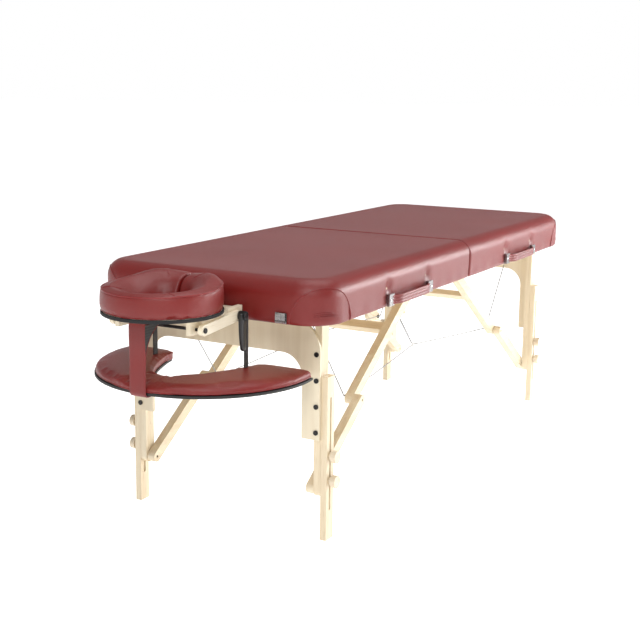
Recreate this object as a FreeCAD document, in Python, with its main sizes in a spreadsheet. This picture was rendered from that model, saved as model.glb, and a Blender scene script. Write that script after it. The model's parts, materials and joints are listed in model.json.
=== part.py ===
"""Portable massage table with face cradle and arm shelf, in millimetres.

The table is two padded wooden halves joined by hinges under their split, each on a pair of
folding legs.  The legs are braced by two struts a side that fold flat, and each leg has a lower
part that slides to set the height.  The head end carries a padded face cradle on two posts, and
an arm shelf hangs from the cradle.

X runs along the table, with the head end at -X.  Y runs across it and Z is up.  The origin is on
the floor, under the middle of the whole object's box.  Each formula below is written with the
names in SIZES; "out" is a distance from the split towards one end of the table, and "across" a
distance from the long centre line.
"""
import FreeCAD, Part

import os
import re

SIZES = [
    # The whole table.
    ("table_length", 1850, "over the two padded halves"),
    ("table_width", 710, "over the padding"),
    ("table_height", 697, "floor to the top of the padding"),
    ("split_gap", 3, "between the two halves"),
    # Padding.
    ("pad_depth", 113, "top of the padding to its lower edge"),
    ("pad_corner", 95, "radius of the corners, seen from above"),
    ("pad_round", 45, "radius of the top edges"),
    ("pad_wall", 9, "padding round the sides of the frame"),
    ("soft_gap", 0.3, "clearance between a soft part and a hard one"),
    # Wooden frame of each half.
    ("rail_lift", 2, "lower edge of the padding to the rails"),
    ("rail_depth", 48, "height of the rails"),
    ("rail_thick", 16, "thickness of the rails"),
    ("deck_thick", 6, "plywood under the padding"),
    # Hinges under the split.
    ("hinge_drop", 5, "rails down to the hinge axis"),
    ("hinge_across", 230, "centre line to each hinge"),
    ("hinge_width", 60, "length of a leaf along the axis"),
    ("hinge_reach", 40, "leaf from the axis to its far edge"),
    ("leaf_thick", 2.2, "sheet metal of the leaves"),
    ("knuckle_radius", 4.5, "rolled barrel of the hinge"),
    ("hinge_pin_radius", 2, "pin through the barrel"),
    ("pin_gap", 0.1, "radial clearance of every pin and bolt"),
    ("side_gap", 0.6, "clearance beside parts that swing"),
    # Legs.
    ("leg_out", 800, "split to the leg pivots"),
    ("leg_pivot_drop", 89, "top of the padding to the leg pivots"),
    ("leg_across", 306, "centre line to the outer face of the lower legs"),
    ("leg_width", 36, "legs, seen from the side"),
    ("lower_leg_thick", 18, "lower legs, seen from the end"),
    ("upper_leg_thick", 20, "upper legs, seen from the end"),
    ("slide_gap", 0.4, "clearance between upper and lower legs"),
    ("lower_leg_long", 437, "length of the lower legs"),
    ("edge_round", 3, "radius of worked wooden edges"),
    ("leg_extend", 152.4, "travel of the lower legs down"),
    ("leg_retract", 76.2, "travel of the lower legs up"),
    ("bolt_radius", 4, "pivot bolts and knob studs"),
    ("bolt_head_radius", 6.5, "heads of the bolts"),
    ("bolt_head_thick", 3, "heads of the bolts"),
    ("block_long", 50, "pivot blocks along the table"),
    # Knobs.
    ("knob_height", 159.5, "floor to the lower knob"),
    ("knob_pitch", 66.1, "lower knob to upper knob"),
    ("knob_radius", 16, "turned head of a knob"),
    ("knob_neck_radius", 10, "neck of a knob"),
    ("knob_neck", 7, "length of the neck"),
    ("knob_reach", 21.5, "leg face to the top of a knob"),
    # Arch panels between the legs.
    ("panel_thick", 9, "plywood of the arch panels"),
    ("panel_low", 270, "floor to the feet of the panels"),
    ("panel_top_gap", 6, "rails down to the top of the panels"),
    ("panel_foot", 52, "width of a panel's foot"),
    ("panel_shoulder", 80, "outer top corners of the panels"),
    ("arch_height", 490, "floor to the crown of the arch"),
    ("arch_corner", 60, "radius of the arch's upper corners"),
    ("panel_bolt_low", 290, "floor to the lowest panel bolt"),
    ("panel_bolt_pitch", 68.3, "between panel bolts"),
    ("panel_bolt_radius", 3, "shanks of the panel bolts"),
    ("panel_bolt_deep", 24, "panel bolts inside the legs"),
    # Struts.
    ("brace_foot_height", 132, "floor to the lower strut's pivot"),
    ("brace_head_out", 105, "split to the upper strut's pivot"),
    ("strut_width", 30, "struts, seen from the side"),
    ("strut_thick", 24, "struts, seen from the end"),
    ("crossbar_out", 254, "upper pivot to the bar between the struts"),
    ("crossbar_width", 30, "bar between the struts, along them"),
    ("crossbar_thick", 18, "bar between the struts"),
    ("elbow_head_reach", 5, "elbow bolts inside the upper struts"),
    # Cables.
    ("cable_radius", 1.5, "steel cable with its sleeve"),
    ("cable_gap", 9.4, "upper struts to the cables beside them"),
    ("ring_across", 172, "centre line to the ring in a long cable"),
    ("ring_height", 351, "floor to the ring"),
    ("ring_radius", 5, "ring body"),
    ("centre_across", 40, "centre line to the upper end of a ring's cable"),
    # Carrying handles.
    ("handle_out", 445, "split to the middle of a handle"),
    ("handle_span", 224, "strap between its end caps"),
    ("handle_bow", 18, "how far the strap stands out in the middle"),
    ("handle_reach", 22, "padding to the outside of the strap"),
    ("handle_thick", 4, "strap"),
    ("handle_width", 26, "strap, seen from the side"),
    ("handle_lift", 6, "lower edge of the padding to the strap"),
    ("cap_long", 30, "end caps"),
    ("cap_reach", 8, "end caps, out from the padding"),
    # Latches between the two ends when folded.
    ("latch_across", 231, "centre line to a latch"),
    ("latch_width", 32, "latch plates"),
    ("latch_high", 26, "latch plates"),
    ("latch_thick", 2, "latch plates"),
    ("latch_lift", 4, "lower edge of the padding to a latch"),
    ("latch_knuckle", 2.5, "radius of the latch lever's barrel"),
    ("catch_reach", 4, "catches, out from the padding"),
    # Face cradle: posts, base, bars.
    ("post_across", 105, "centre line to a post"),
    ("post_height_gap", 28, "rail's top to the posts' axis"),
    ("post_radius", 11, "dowel posts"),
    ("post_deep", 85, "posts inside the table"),
    ("socket_gap", 0.4, "radial clearance of the posts"),
    ("cradle_gap", 9, "padding to the cradle's base"),
    ("base_thick", 18, "cross piece of the base"),
    ("base_high", 24, "cross piece of the base"),
    ("base_across", 112, "half the length of the cross piece"),
    ("cheek_thick", 12, "side cheeks of the base"),
    ("cheek_long", 62, "side cheeks of the base"),
    ("cheek_high", 36, "side cheeks of the base"),
    ("cam_reach", 40, "end of the padding to the cam pivot"),
    ("cam_height", 604, "floor to the cam pivot"),
    ("bar_thick", 12, "bars between base and platform"),
    ("bar_width", 26, "bars between base and platform"),
    ("rod_reach", 190, "end of the padding to the platform's rod"),
    ("rod_height", 592, "floor to the platform's rod"),
    # Face cradle: platform and cushion.
    ("platform_bottom", 619, "floor to the platform"),
    ("platform_thick", 9, "plywood platform"),
    ("platform_inset", 6, "cushion's edge to the platform's edge"),
    ("lug_thick", 12, "lugs under the platform"),
    ("lug_gap", 14, "bar's inner face to a lug's outer face"),
    ("lug_long", 46, "lugs under the platform"),
    ("cushion_reach", 170, "end of the padding to the middle of the cushion"),
    ("cushion_radius", 150, "outer edge of the cushion"),
    ("cushion_thick", 66, "cushion"),
    ("hook_band", 3, "hook and loop between platform and cushion"),
    ("face_radius", 52, "face opening"),
    ("face_shift", 14, "face opening towards the table"),
    ("slot_width", 34, "opening between the cushion's two horns"),
    # Cam levers.
    ("cam_radius", 12.5, "barrel of a cam lever"),
    ("cam_long", 22, "barrel of a cam lever"),
    ("lever_long", 90, "lever from the cam pivot to its end"),
    ("lever_thick", 9, "lever"),
    ("lever_width", 17, "lever"),
    ("cam_stud_deep", 26, "stud of a lever inside the bar and cheek"),
    # Arm shelf and its straps.
    ("shelf_top", 465, "floor to the top of the shelf"),
    ("shelf_thick", 30, "padded shelf"),
    ("shelf_radius", 290, "radius of the shelf's outer curve"),
    ("shelf_back", 190, "middle of the cushion back to the centre of that curve"),
    ("shelf_horn", 55, "centre of that curve to the ends of the horns"),
    ("shelf_depth", 105, "shelf at its middle, front to bay"),
    ("bay_radius", 125, "bay between the shelf's horns"),
    ("front_strap_width", 56, "wide strap in front"),
    ("front_strap_thick", 4, "wide strap in front"),
    ("strap_width", 20, "webbing straps"),
    ("strap_thick", 2.5, "webbing straps"),
    ("strap_reach", 15, "end of the padding to the middle of a webbing strap"),
    ("strap_gap", 1.5, "bar's outer face to a webbing strap"),
]

HEAD, FOOT = -1, 1
RIGHT, LEFT = -1, 1
END_NAMES = {HEAD: "head", FOOT: "foot"}
HAND_NAMES = {RIGHT: "right", LEFT: "left"}

doc = FreeCAD.newDocument("massage_table")
sheet = doc.addObject("Spreadsheet::Sheet", "Sizes")
for row, (alias, number, _) in enumerate(SIZES, start=1):
    sheet.set(f"A{row}", str(number))
    sheet.setAlias(f"A{row}", alias)
doc.recompute()

ALIASES = {alias for alias, _, _ in SIZES}

# Formulas that several pieces share.
HALF_LENGTH = "(table_length / 2)"
HALF_WIDTH = "(table_width / 2)"
PAD_BOTTOM = "(table_height - pad_depth)"
RAIL_BOTTOM = f"({PAD_BOTTOM} + rail_lift)"
RAIL_TOP = f"({RAIL_BOTTOM} + rail_depth)"
DECK_TOP = f"({RAIL_TOP} + deck_thick)"
FRAME_LONG = f"({HALF_LENGTH} - pad_wall)"
FRAME_ACROSS = f"({HALF_WIDTH} - pad_wall)"
FRAME_CORNER = "(pad_corner - pad_wall)"
RAIL_INNER = f"({FRAME_ACROSS} - rail_thick)"
HINGE_Z = f"({RAIL_BOTTOM} - hinge_drop)"
LEG_TOP = "(table_height - leg_pivot_drop)"
UPPER_LEG_OUT = "(leg_across - lower_leg_thick - slide_gap)"
UPPER_LEG_IN = f"({UPPER_LEG_OUT} - upper_leg_thick)"
LOWER_STRUT_OUT = f"({UPPER_LEG_IN} - side_gap)"
LOWER_STRUT_IN = f"({LOWER_STRUT_OUT} - strut_thick)"
UPPER_STRUT_OUT = f"({LOWER_STRUT_IN} - side_gap)"
UPPER_STRUT_IN = f"({UPPER_STRUT_OUT} - strut_thick)"
BRACE_DROP = f"({LEG_TOP} - brace_foot_height)"
BRACE_RUN = "(leg_out - brace_head_out)"
BRACE_ANGLE = f"atan({BRACE_DROP} / {BRACE_RUN})"
BRACE_LONG = f"sqrt({BRACE_DROP} ^ 2 + {BRACE_RUN} ^ 2)"
# The struts fold flat when their lengths differ as their pivots' distances from the leg pivot do.
UPPER_STRUT_LONG = f"(({BRACE_LONG} + {BRACE_RUN} - {BRACE_DROP}) / 2)"
LOWER_STRUT_LONG = f"(({BRACE_LONG} - {BRACE_RUN} + {BRACE_DROP}) / 2)"
POST_Z = f"({RAIL_TOP} - post_height_gap)"
CABLE_ACROSS = f"({UPPER_STRUT_IN} - cable_gap)"
CAM_OUT = f"({HALF_LENGTH} + cam_reach)"
ROD_OUT = f"({HALF_LENGTH} + rod_reach)"
CUSHION_OUT = f"({HALF_LENGTH} + cushion_reach)"
STRAP_OUT = f"({HALF_LENGTH} + strap_reach)"
SHELF_OUT = f"({CUSHION_OUT} - shelf_back)"
SHELF_FRONT = f"({SHELF_OUT} + shelf_radius)"
BAR_IN = "(base_across + cheek_thick + side_gap)"
BAR_OUT = f"({BAR_IN} + bar_thick)"
# The whole object's box runs from the cradle's cushion to the catches, and from the handles to
# the far long side.
SHIFT_X = f"(({CUSHION_OUT} + cushion_radius - {HALF_LENGTH} - catch_reach) / 2)"
SHIFT_Y = "(handle_reach / 2)"


def sheet_names(formula):
    """Put the sheet's name before each of its aliases in a formula."""
    return re.sub(r"[a-z_]+", lambda m: "Sizes." + m[0] if m[0] in ALIASES else m[0], formula)


def bind(thing, prop, formula):
    """Bind one property to a formula."""
    thing.setExpression(prop, sheet_names(str(formula)))


def number(formula):
    """Work out a formula's value now."""
    value = sheet.evalExpression(sheet_names(str(formula)))
    return float(getattr(value, "Value", value))


def place(thing, out_x, across_y, height):
    """Bind a piece's position, given in the table's own frame, to the part's frame."""
    bind(thing, "Placement.Base.x", f"{SHIFT_X} + {out_x}")
    bind(thing, "Placement.Base.y", f"{SHIFT_Y} + {across_y}")
    bind(thing, "Placement.Base.z", height)


def low_end(sign, low, high):
    """The lower end of the stretch low..high, once it is mirrored where sign is negative."""
    return f"({low})" if sign > 0 else f"(-({high}))"


def length(stretch):
    """Length of a stretch given as its low and high ends."""
    return f"({stretch[1]}) - ({stretch[0]})"


def block(name, end, hand, out, across, height):
    """A box; out, across and height are pairs of formulas, mirrored by end and hand."""
    box = doc.addObject("Part::Box", name)
    bind(box, "Length", length(out))
    bind(box, "Width", length(across))
    bind(box, "Height", length(height))
    place(box, low_end(end, *out), low_end(hand, *across), height[0])
    return box


def round_bar(name, radius, long, turn_axis, turn):
    """A cylinder from the origin, turned from +Z by an angle about an axis."""
    bar = doc.addObject("Part::Cylinder", name)
    bind(bar, "Radius", radius)
    bind(bar, "Height", long)
    bar.Placement.Rotation = FreeCAD.Rotation(FreeCAD.Vector(*turn_axis), turn)
    return bar


def pin_across(name, end, hand, out, across, height, radius):
    """A cylinder along Y from across[0] to across[1]."""
    bar = round_bar(name, radius, length(across), (1, 0, 0), -90)
    place(bar, f"{end} * {out}", low_end(hand, *across), height)
    return bar


def pin_along(name, end, hand, out, across, height, radius):
    """A cylinder along X from out[0] to out[1]."""
    bar = round_bar(name, radius, length(out), (0, 1, 0), 90)
    place(bar, low_end(end, *out), f"{hand} * {across}", height)
    return bar


def pin_up(name, end, hand, out, across, height, radius):
    """A cylinder along Z from height[0] to height[1]."""
    bar = round_bar(name, radius, length(height), (0, 0, 1), 0)
    place(bar, f"{end} * {out}", f"{hand} * {across}", height[0])
    return bar


def joined(name, shapes):
    """Several shapes fused into one solid."""
    fuse = doc.addObject("Part::MultiFuse", name)
    fuse.Shapes = shapes
    fuse.Refine = True
    return fuse


def common(name, shapes):
    """The space that all the shapes share."""
    shared = doc.addObject("Part::MultiCommon", name)
    shared.Shapes = shapes
    return shared


def cut(name, base, tools):
    """A shape with one or more tools taken out of it."""
    result = doc.addObject("Part::Cut", name)
    result.Base = base
    result.Tool = tools[0] if len(tools) == 1 else joined(name + "_tools", tools)
    return result


def group(name, pieces):
    """A node that holds several separate, identical or paired solids."""
    compound = doc.addObject("Part::Compound", name)
    compound.Links = pieces
    return compound


nodes = {}


def node(label, piece):
    """Name a finished sub-part."""
    piece.Label = label
    nodes[label] = piece
    return piece


def rounded_half(name, end, inset, low, high):
    """Half of the table's outline, set in by inset, with its two outer corners rounded."""
    corner = f"(pad_corner - {inset})"
    flat = f"({HALF_LENGTH} - pad_corner)"
    straight = f"({HALF_WIDTH} - pad_corner)"
    side = f"({HALF_WIDTH} - {inset})"
    long_box = block(name + "_long", end, LEFT, ("split_gap / 2", flat),
                     (f"-{side}", side), (low, high))
    end_box = block(name + "_end", end, LEFT, (flat, f"{HALF_LENGTH} - {inset}"),
                    (f"-{straight}", straight), (low, high))
    corners = [pin_up(f"{name}_corner_{HAND_NAMES[hand]}", end, hand, flat, straight,
                      (low, high), corner) for hand in (RIGHT, LEFT)]
    return joined(name, [long_box, end_box] + corners)


def top_edges(shape, height):
    """Numbers of the edges that lie at one height, without those on the split."""
    wanted = []
    for index, edge in enumerate(shape.Edges, start=1):
        box = edge.BoundBox
        on_top = abs(box.ZMin - height) < 1e-3 and abs(box.ZMax - height) < 1e-3
        on_split = box.XLength < 1e-3 and abs(box.XMin - number(SHIFT_X)) < number("split_gap")
        if on_top and not on_split:
            wanted.append(index)
    return wanted


def post_sockets(tag):
    """Two bores for the cradle's posts, through the head end's rail and padding."""
    return [pin_along(f"{tag}_socket_{HAND_NAMES[hand]}", HEAD, hand,
                      (f"{FRAME_LONG} - 2 * rail_thick", f"{HALF_LENGTH} + pad_wall"),
                      "post_across", POST_Z, "(post_radius + socket_gap)")
            for hand in (RIGHT, LEFT)]


def make_pad(end):
    """Foam and cover over the top and sides of one half, open below for the frame."""
    name = END_NAMES[end]
    outline = rounded_half(f"{name}_pad_block", end, "0", PAD_BOTTOM, "table_height")
    doc.recompute()
    rounded = doc.addObject("Part::Fillet", f"{name}_pad_rounded")
    rounded.Base = outline
    radius = number("pad_round")
    rounded.Edges = [(index, radius, radius)
                     for index in top_edges(outline.Shape, number("table_height"))]
    hollow = rounded_half(f"{name}_pad_hollow", end, "(pad_wall - soft_gap)", PAD_BOTTOM,
                          f"{DECK_TOP} + soft_gap")
    holes = post_sockets("pad") if end == HEAD else []
    node(f"{name}_pad", cut(f"{name}_pad_cut", rounded, [hollow] + holes))


def make_frame(end):
    """Deck, side and centre rails, and the end rail with its two bent corners."""
    name = END_NAMES[end]
    node(f"{name}_deck", rounded_half(f"{name}_deck_board", end, "pad_wall", RAIL_TOP, DECK_TOP))

    height = (RAIL_BOTTOM, RAIL_TOP)
    corner_out = f"({HALF_LENGTH} - pad_corner)"
    corner_across = f"({HALF_WIDTH} - pad_corner)"
    rails = [block(f"{name}_side_rail_{HAND_NAMES[hand]}", end, hand, ("split_gap / 2", corner_out),
                   (RAIL_INNER, FRAME_ACROSS), height) for hand in (RIGHT, LEFT)]
    rails.append(block(f"{name}_centre_rail", end, LEFT, ("split_gap / 2", "split_gap / 2 + rail_thick"),
                       (f"-{RAIL_INNER}", RAIL_INNER), height))
    node(f"{name}_rails", group(f"{name}_rails_group", rails))

    board = block(f"{name}_end_board", end, LEFT, (f"{FRAME_LONG} - rail_thick", FRAME_LONG),
                  (f"-{corner_across}", corner_across), height)
    bends = []
    for hand in (RIGHT, LEFT):
        tag = f"{name}_bend_{HAND_NAMES[hand]}"
        outer = pin_up(tag + "_outer", end, hand, corner_out, corner_across, height, FRAME_CORNER)
        inner = pin_up(tag + "_inner", end, hand, corner_out, corner_across, height,
                       f"{FRAME_CORNER} - rail_thick")
        quarter = block(tag + "_quarter", end, hand, (corner_out, FRAME_LONG),
                        (corner_across, FRAME_ACROSS), height)
        bends.append(common(tag, [cut(tag + "_ring", outer, [inner]), quarter]))
    rail = joined(f"{name}_end_rail_solid", [board] + bends)
    if end == HEAD:
        rail = cut("head_end_rail_bored", rail, post_sockets("rail"))
    node(f"{name}_end_rail", rail)


def make_centre_hinges():
    """Two butt hinges under the split: the head leaves carry the pins."""
    third = "(hinge_width / 3)"
    gap = "(pin_gap / 2)"
    leaf_low = f"({RAIL_BOTTOM} - leaf_thick)"
    for end in (HEAD, FOOT):
        name = END_NAMES[end]
        leaves = []
        for hand in (RIGHT, LEFT):
            tag = f"{name}_leaf_{HAND_NAMES[hand]}"
            middle = f"{hand} * hinge_across"
            if end == HEAD:
                rolls = [(f"{middle} - hinge_width / 2", f"{middle} - {third} / 2 - {gap}"),
                         (f"{middle} + {third} / 2 + {gap}", f"{middle} + hinge_width / 2")]
            else:
                rolls = [(f"{middle} - {third} / 2 + {gap}", f"{middle} + {third} / 2 - {gap}")]
            plate = block(tag + "_plate", end, LEFT, ("knuckle_radius + pin_gap", "hinge_reach"),
                          (f"{middle} - hinge_width / 2", f"{middle} + hinge_width / 2"),
                          (leaf_low, RAIL_BOTTOM))
            solids = [plate]
            for index, roll in enumerate(rolls):
                solids.append(pin_across(f"{tag}_roll_{index}", end, LEFT, "0", roll, HINGE_Z,
                                         "knuckle_radius"))
                solids.append(block(f"{tag}_web_{index}", end, LEFT,
                                    ("knuckle_radius / 3", "knuckle_radius + 2 * leaf_thick"), roll,
                                    (leaf_low, f"{leaf_low} + leaf_thick * 2 / 3")))
            if end == HEAD:
                solids.append(pin_across(tag + "_pin", end, LEFT, "0",
                                         (f"{middle} - hinge_width / 2",
                                          f"{middle} + hinge_width / 2"),
                                         HINGE_Z, "hinge_pin_radius"))
                leaves.append(joined(tag, solids))
            else:
                bore = pin_across(tag + "_bore", end, LEFT, "0", rolls[0], HINGE_Z,
                                  "(hinge_pin_radius + pin_gap)")
                leaves.append(cut(tag, joined(tag + "_solid", solids), [bore]))
        node(f"{name}_hinge_leaves", group(f"{name}_hinge_leaves_group", leaves))


def make_pivot_blocks(end):
    """Blocks under the deck that hold the legs and upper struts, with their bolts."""
    name = END_NAMES[end]
    blocks = []
    bolts = []
    for hand in (RIGHT, LEFT):
        side = HAND_NAMES[hand]
        stations = [
            ("leg", "leg_out", ("leg_across - lower_leg_thick", RAIL_INNER), UPPER_LEG_IN),
            ("strut", "brace_head_out",
             (LOWER_STRUT_IN, f"{LOWER_STRUT_IN} + block_long / 2"), UPPER_STRUT_IN),
        ]
        for kind, out, across, inner_face in stations:
            tag = f"{name}_{kind}_block_{side}"
            body = block(tag + "_body", end, hand,
                         (f"{out} - block_long / 2", f"{out} + block_long / 2"), across,
                         (RAIL_BOTTOM, RAIL_TOP))
            hole = pin_across(tag + "_hole", end, hand, out, across, LEG_TOP, "bolt_radius")
            blocks.append(cut(tag, body, [hole]))
            start = f"({inner_face} - side_gap)"
            shank = pin_across(tag + "_shank", end, hand, out, (start, across[1]), LEG_TOP,
                               "bolt_radius")
            cap = pin_across(tag + "_cap", end, hand, out,
                             (f"{start} - bolt_head_thick", start), LEG_TOP, "bolt_head_radius")
            bolts.append(joined(tag + "_bolt", [shank, cap]))
    node(f"{name}_pivot_blocks", group(f"{name}_pivot_blocks_group", blocks))
    node(f"{name}_pivot_bolts", group(f"{name}_pivot_bolts_group", bolts))


def bar_shape(tag, long, width, across_thick):
    """A flat bar along local X with round ends centred on 0 and long."""
    box = doc.addObject("Part::Box", tag + "_flat")
    bind(box, "Length", long)
    bind(box, "Width", across_thick)
    bind(box, "Height", width)
    bind(box, "Placement.Base.y", f"-{across_thick} / 2")
    bind(box, "Placement.Base.z", f"-{width} / 2")
    pieces = [box]
    for index, place_x in enumerate(("0", long)):
        cap = round_bar(f"{tag}_round_{index}", f"{width} / 2", across_thick, (1, 0, 0), -90)
        bind(cap, "Placement.Base.x", place_x)
        bind(cap, "Placement.Base.y", f"-{across_thick} / 2")
        pieces.append(cap)
    return joined(tag + "_bar", pieces)


def local_hole(tag, along, across_thick, radius):
    """A hole along local Y through a flat bar."""
    hole = round_bar(tag, radius, f"{across_thick} * 2", (1, 0, 0), -90)
    bind(hole, "Placement.Base.x", along)
    bind(hole, "Placement.Base.y", f"-{across_thick}")
    return hole


def swing(thing, end, out, across, height, turn):
    """Turn a local shape about Y and set it in the table's frame; turn is for the foot end."""
    thing.Placement.Rotation = FreeCAD.Rotation(FreeCAD.Vector(0, 1, 0), 1)
    bind(thing, "Placement.Rotation.Angle", turn if end == FOOT else f"180 deg - ({turn})")
    place(thing, f"{end} * {out}", across, height)


def make_struts(end):
    """Upper and lower struts, the bar that joins the upper ones, and the elbow bolts."""
    name = END_NAMES[end]
    upper, lower, elbows = [], [], []
    hole_radius = "(bolt_radius + pin_gap)"
    for hand in (RIGHT, LEFT):
        side = HAND_NAMES[hand]
        tag = f"{name}_upper_strut_{side}"
        strut = cut(tag, bar_shape(tag, UPPER_STRUT_LONG, "strut_width", "strut_thick"),
                    [local_hole(tag + "_top", "0", "strut_thick", hole_radius),
                     local_hole(tag + "_elbow", UPPER_STRUT_LONG, "strut_thick", "bolt_radius")])
        middle = f"{hand} * ({UPPER_STRUT_OUT} + {UPPER_STRUT_IN}) / 2"
        swing(strut, end, "brace_head_out", middle, LEG_TOP, BRACE_ANGLE)
        upper.append(strut)

        tag = f"{name}_elbow_{side}"
        shank = round_bar(tag + "_shank", "bolt_radius", "strut_thick + elbow_head_reach",
                          (1, 0, 0), 90 * hand)
        cap = round_bar(tag + "_cap", "bolt_head_radius", "bolt_head_thick", (1, 0, 0), 90 * hand)
        bind(shank, "Placement.Base.y", f"{hand} * strut_thick / 2")
        bind(cap, "Placement.Base.y", f"-{hand} * strut_thick / 2")
        bolt = joined(tag, [shank, cap])
        elbow_out = f"(brace_head_out + {UPPER_STRUT_LONG} * cos({BRACE_ANGLE}))"
        elbow_height = f"({LEG_TOP} - {UPPER_STRUT_LONG} * sin({BRACE_ANGLE}))"
        place(bolt, f"{end} * {elbow_out}", middle, elbow_height)
        elbows.append(bolt)

        tag = f"{name}_lower_strut_{side}"
        strut = cut(tag, bar_shape(tag, LOWER_STRUT_LONG, "strut_width", "strut_thick"),
                    [local_hole(tag + "_foot", "0", "strut_thick", hole_radius),
                     local_hole(tag + "_elbow", LOWER_STRUT_LONG, "strut_thick", hole_radius)])
        middle = f"{hand} * ({LOWER_STRUT_OUT} + {LOWER_STRUT_IN}) / 2"
        swing(strut, end, "leg_out", middle, "brace_foot_height", f"180 deg + {BRACE_ANGLE}")
        lower.append(strut)
    node(f"{name}_upper_struts", group(f"{name}_upper_struts_group", upper))
    node(f"{name}_lower_struts", group(f"{name}_lower_struts_group", lower))
    node(f"{name}_elbow_bolts", group(f"{name}_elbow_bolts_group", elbows))

    bar = doc.addObject("Part::Box", f"{name}_crossbar_box")
    bind(bar, "Length", "crossbar_width")
    bind(bar, "Width", f"{UPPER_STRUT_IN} * 2")
    bind(bar, "Height", "crossbar_thick")
    bind(bar, "Placement.Base.x", "crossbar_out - crossbar_width / 2")
    bind(bar, "Placement.Base.y", f"-{UPPER_STRUT_IN}")
    bind(bar, "Placement.Base.z", "-crossbar_thick / 2")
    crossbar = group(f"{name}_crossbar_turned", [bar])
    swing(crossbar, end, "brace_head_out", "0", LEG_TOP, BRACE_ANGLE)
    node(f"{name}_crossbar", crossbar)


def make_legs(end):
    """Upper legs, arch panel and bolts on the folding part, and the sliding lower legs."""
    name = END_NAMES[end]
    half = "(leg_width / 2)"
    legs, bolts = [], []
    bolt_across = f"(({UPPER_LEG_OUT} + {UPPER_LEG_IN}) / 2)"
    panel_face = f"(leg_out + {half})"
    bolt_rows = range(4)
    for hand in (RIGHT, LEFT):
        side = HAND_NAMES[hand]
        tag = f"{name}_upper_leg_{side}"
        layer = (UPPER_LEG_IN, UPPER_LEG_OUT)
        body = joined(tag + "_solid", [
            block(tag + "_shaft", end, hand, (f"leg_out - {half}", panel_face), layer,
                  ("brace_foot_height", LEG_TOP)),
            pin_across(tag + "_top", end, hand, "leg_out", layer, LEG_TOP, half),
            pin_across(tag + "_bottom", end, hand, "leg_out", layer, "brace_foot_height", half)])
        holes = [pin_across(f"{tag}_pivot", end, hand, "leg_out", layer, LEG_TOP,
                            "(bolt_radius + pin_gap)"),
                 pin_across(f"{tag}_brace", end, hand, "leg_out", layer, "brace_foot_height",
                            "bolt_radius")]
        for index in range(2):
            holes.append(pin_across(f"{tag}_knob_{index}", end, hand, "leg_out", layer,
                                    f"knob_height + {index} * knob_pitch",
                                    "(bolt_radius + pin_gap)"))
        for index in bolt_rows:
            height = f"panel_bolt_low + {index} * panel_bolt_pitch"
            holes.append(pin_along(f"{tag}_panel_{index}", end, hand,
                                   (f"{panel_face} - panel_bolt_deep", panel_face), bolt_across,
                                   height, "panel_bolt_radius"))
            outer = f"({panel_face} + panel_thick)"
            shank = pin_along(f"{tag}_bolt_{index}_shank", end, hand,
                              (f"{panel_face} - panel_bolt_deep", outer), bolt_across, height,
                              "panel_bolt_radius")
            cap = pin_along(f"{tag}_bolt_{index}_cap", end, hand,
                            (outer, f"{outer} + bolt_head_thick"), bolt_across, height,
                            "bolt_head_radius")
            bolts.append(joined(f"{tag}_bolt_{index}", [shank, cap]))
        legs.append(cut(tag, body, holes))
        brace_bolt = pin_across(tag + "_brace_bolt_shank", end, hand, "leg_out",
                                (f"{LOWER_STRUT_IN} + bolt_head_thick", UPPER_LEG_OUT),
                                "brace_foot_height", "bolt_radius")
        bolts.append(brace_bolt)
    node(f"{name}_upper_legs", group(f"{name}_upper_legs_group", legs))
    node(f"{name}_leg_bolts", group(f"{name}_leg_bolts_group", bolts))
    make_arch_panel(end, panel_face, bolt_across, bolt_rows)


def make_arch_panel(end, panel_face, bolt_across, bolt_rows):
    """Plywood panel across a pair of legs, cut out below in an arch with rounded corners."""
    name = END_NAMES[end]
    out = (panel_face, f"{panel_face} + panel_thick")
    top = f"({RAIL_BOTTOM} - panel_top_gap)"
    shoulder_across = f"({UPPER_LEG_OUT} - panel_shoulder)"
    tag = f"{name}_panel"
    solids = [
        block(tag + "_body", end, LEFT, out, (f"-{UPPER_LEG_OUT}", UPPER_LEG_OUT),
              ("panel_low", f"{top} - panel_shoulder")),
        block(tag + "_top", end, LEFT, out, (f"-{shoulder_across}", shoulder_across),
              (f"{top} - panel_shoulder", top))]
    for hand in (RIGHT, LEFT):
        solids.append(pin_along(f"{tag}_shoulder_{HAND_NAMES[hand]}", end, hand, out,
                                shoulder_across, f"{top} - panel_shoulder", "panel_shoulder"))
    body = joined(tag + "_solid", solids)

    foot_in = f"({UPPER_LEG_OUT} - panel_foot)"
    corner_across = f"({foot_in} - arch_corner)"
    corner_height = "(arch_height - arch_corner)"
    past = (f"{panel_face} - panel_thick", f"{panel_face} + 2 * panel_thick")
    opening = [
        block(tag + "_arch_low", end, LEFT, past, (f"-{foot_in}", foot_in),
              ("panel_low - panel_foot", corner_height)),
        block(tag + "_arch_top", end, LEFT, past, (f"-{corner_across}", corner_across),
              (corner_height, "arch_height"))]
    for hand in (RIGHT, LEFT):
        opening.append(pin_along(f"{tag}_arch_corner_{HAND_NAMES[hand]}", end, hand, past,
                                 corner_across, corner_height, "arch_corner"))
        for index in bolt_rows:
            opening.append(pin_along(f"{tag}_hole_{HAND_NAMES[hand]}_{index}", end, hand, out,
                                     bolt_across, f"panel_bolt_low + {index} * panel_bolt_pitch",
                                     "panel_bolt_radius"))
    node(f"{name}_arch_panel", cut(tag, body, opening))


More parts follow.
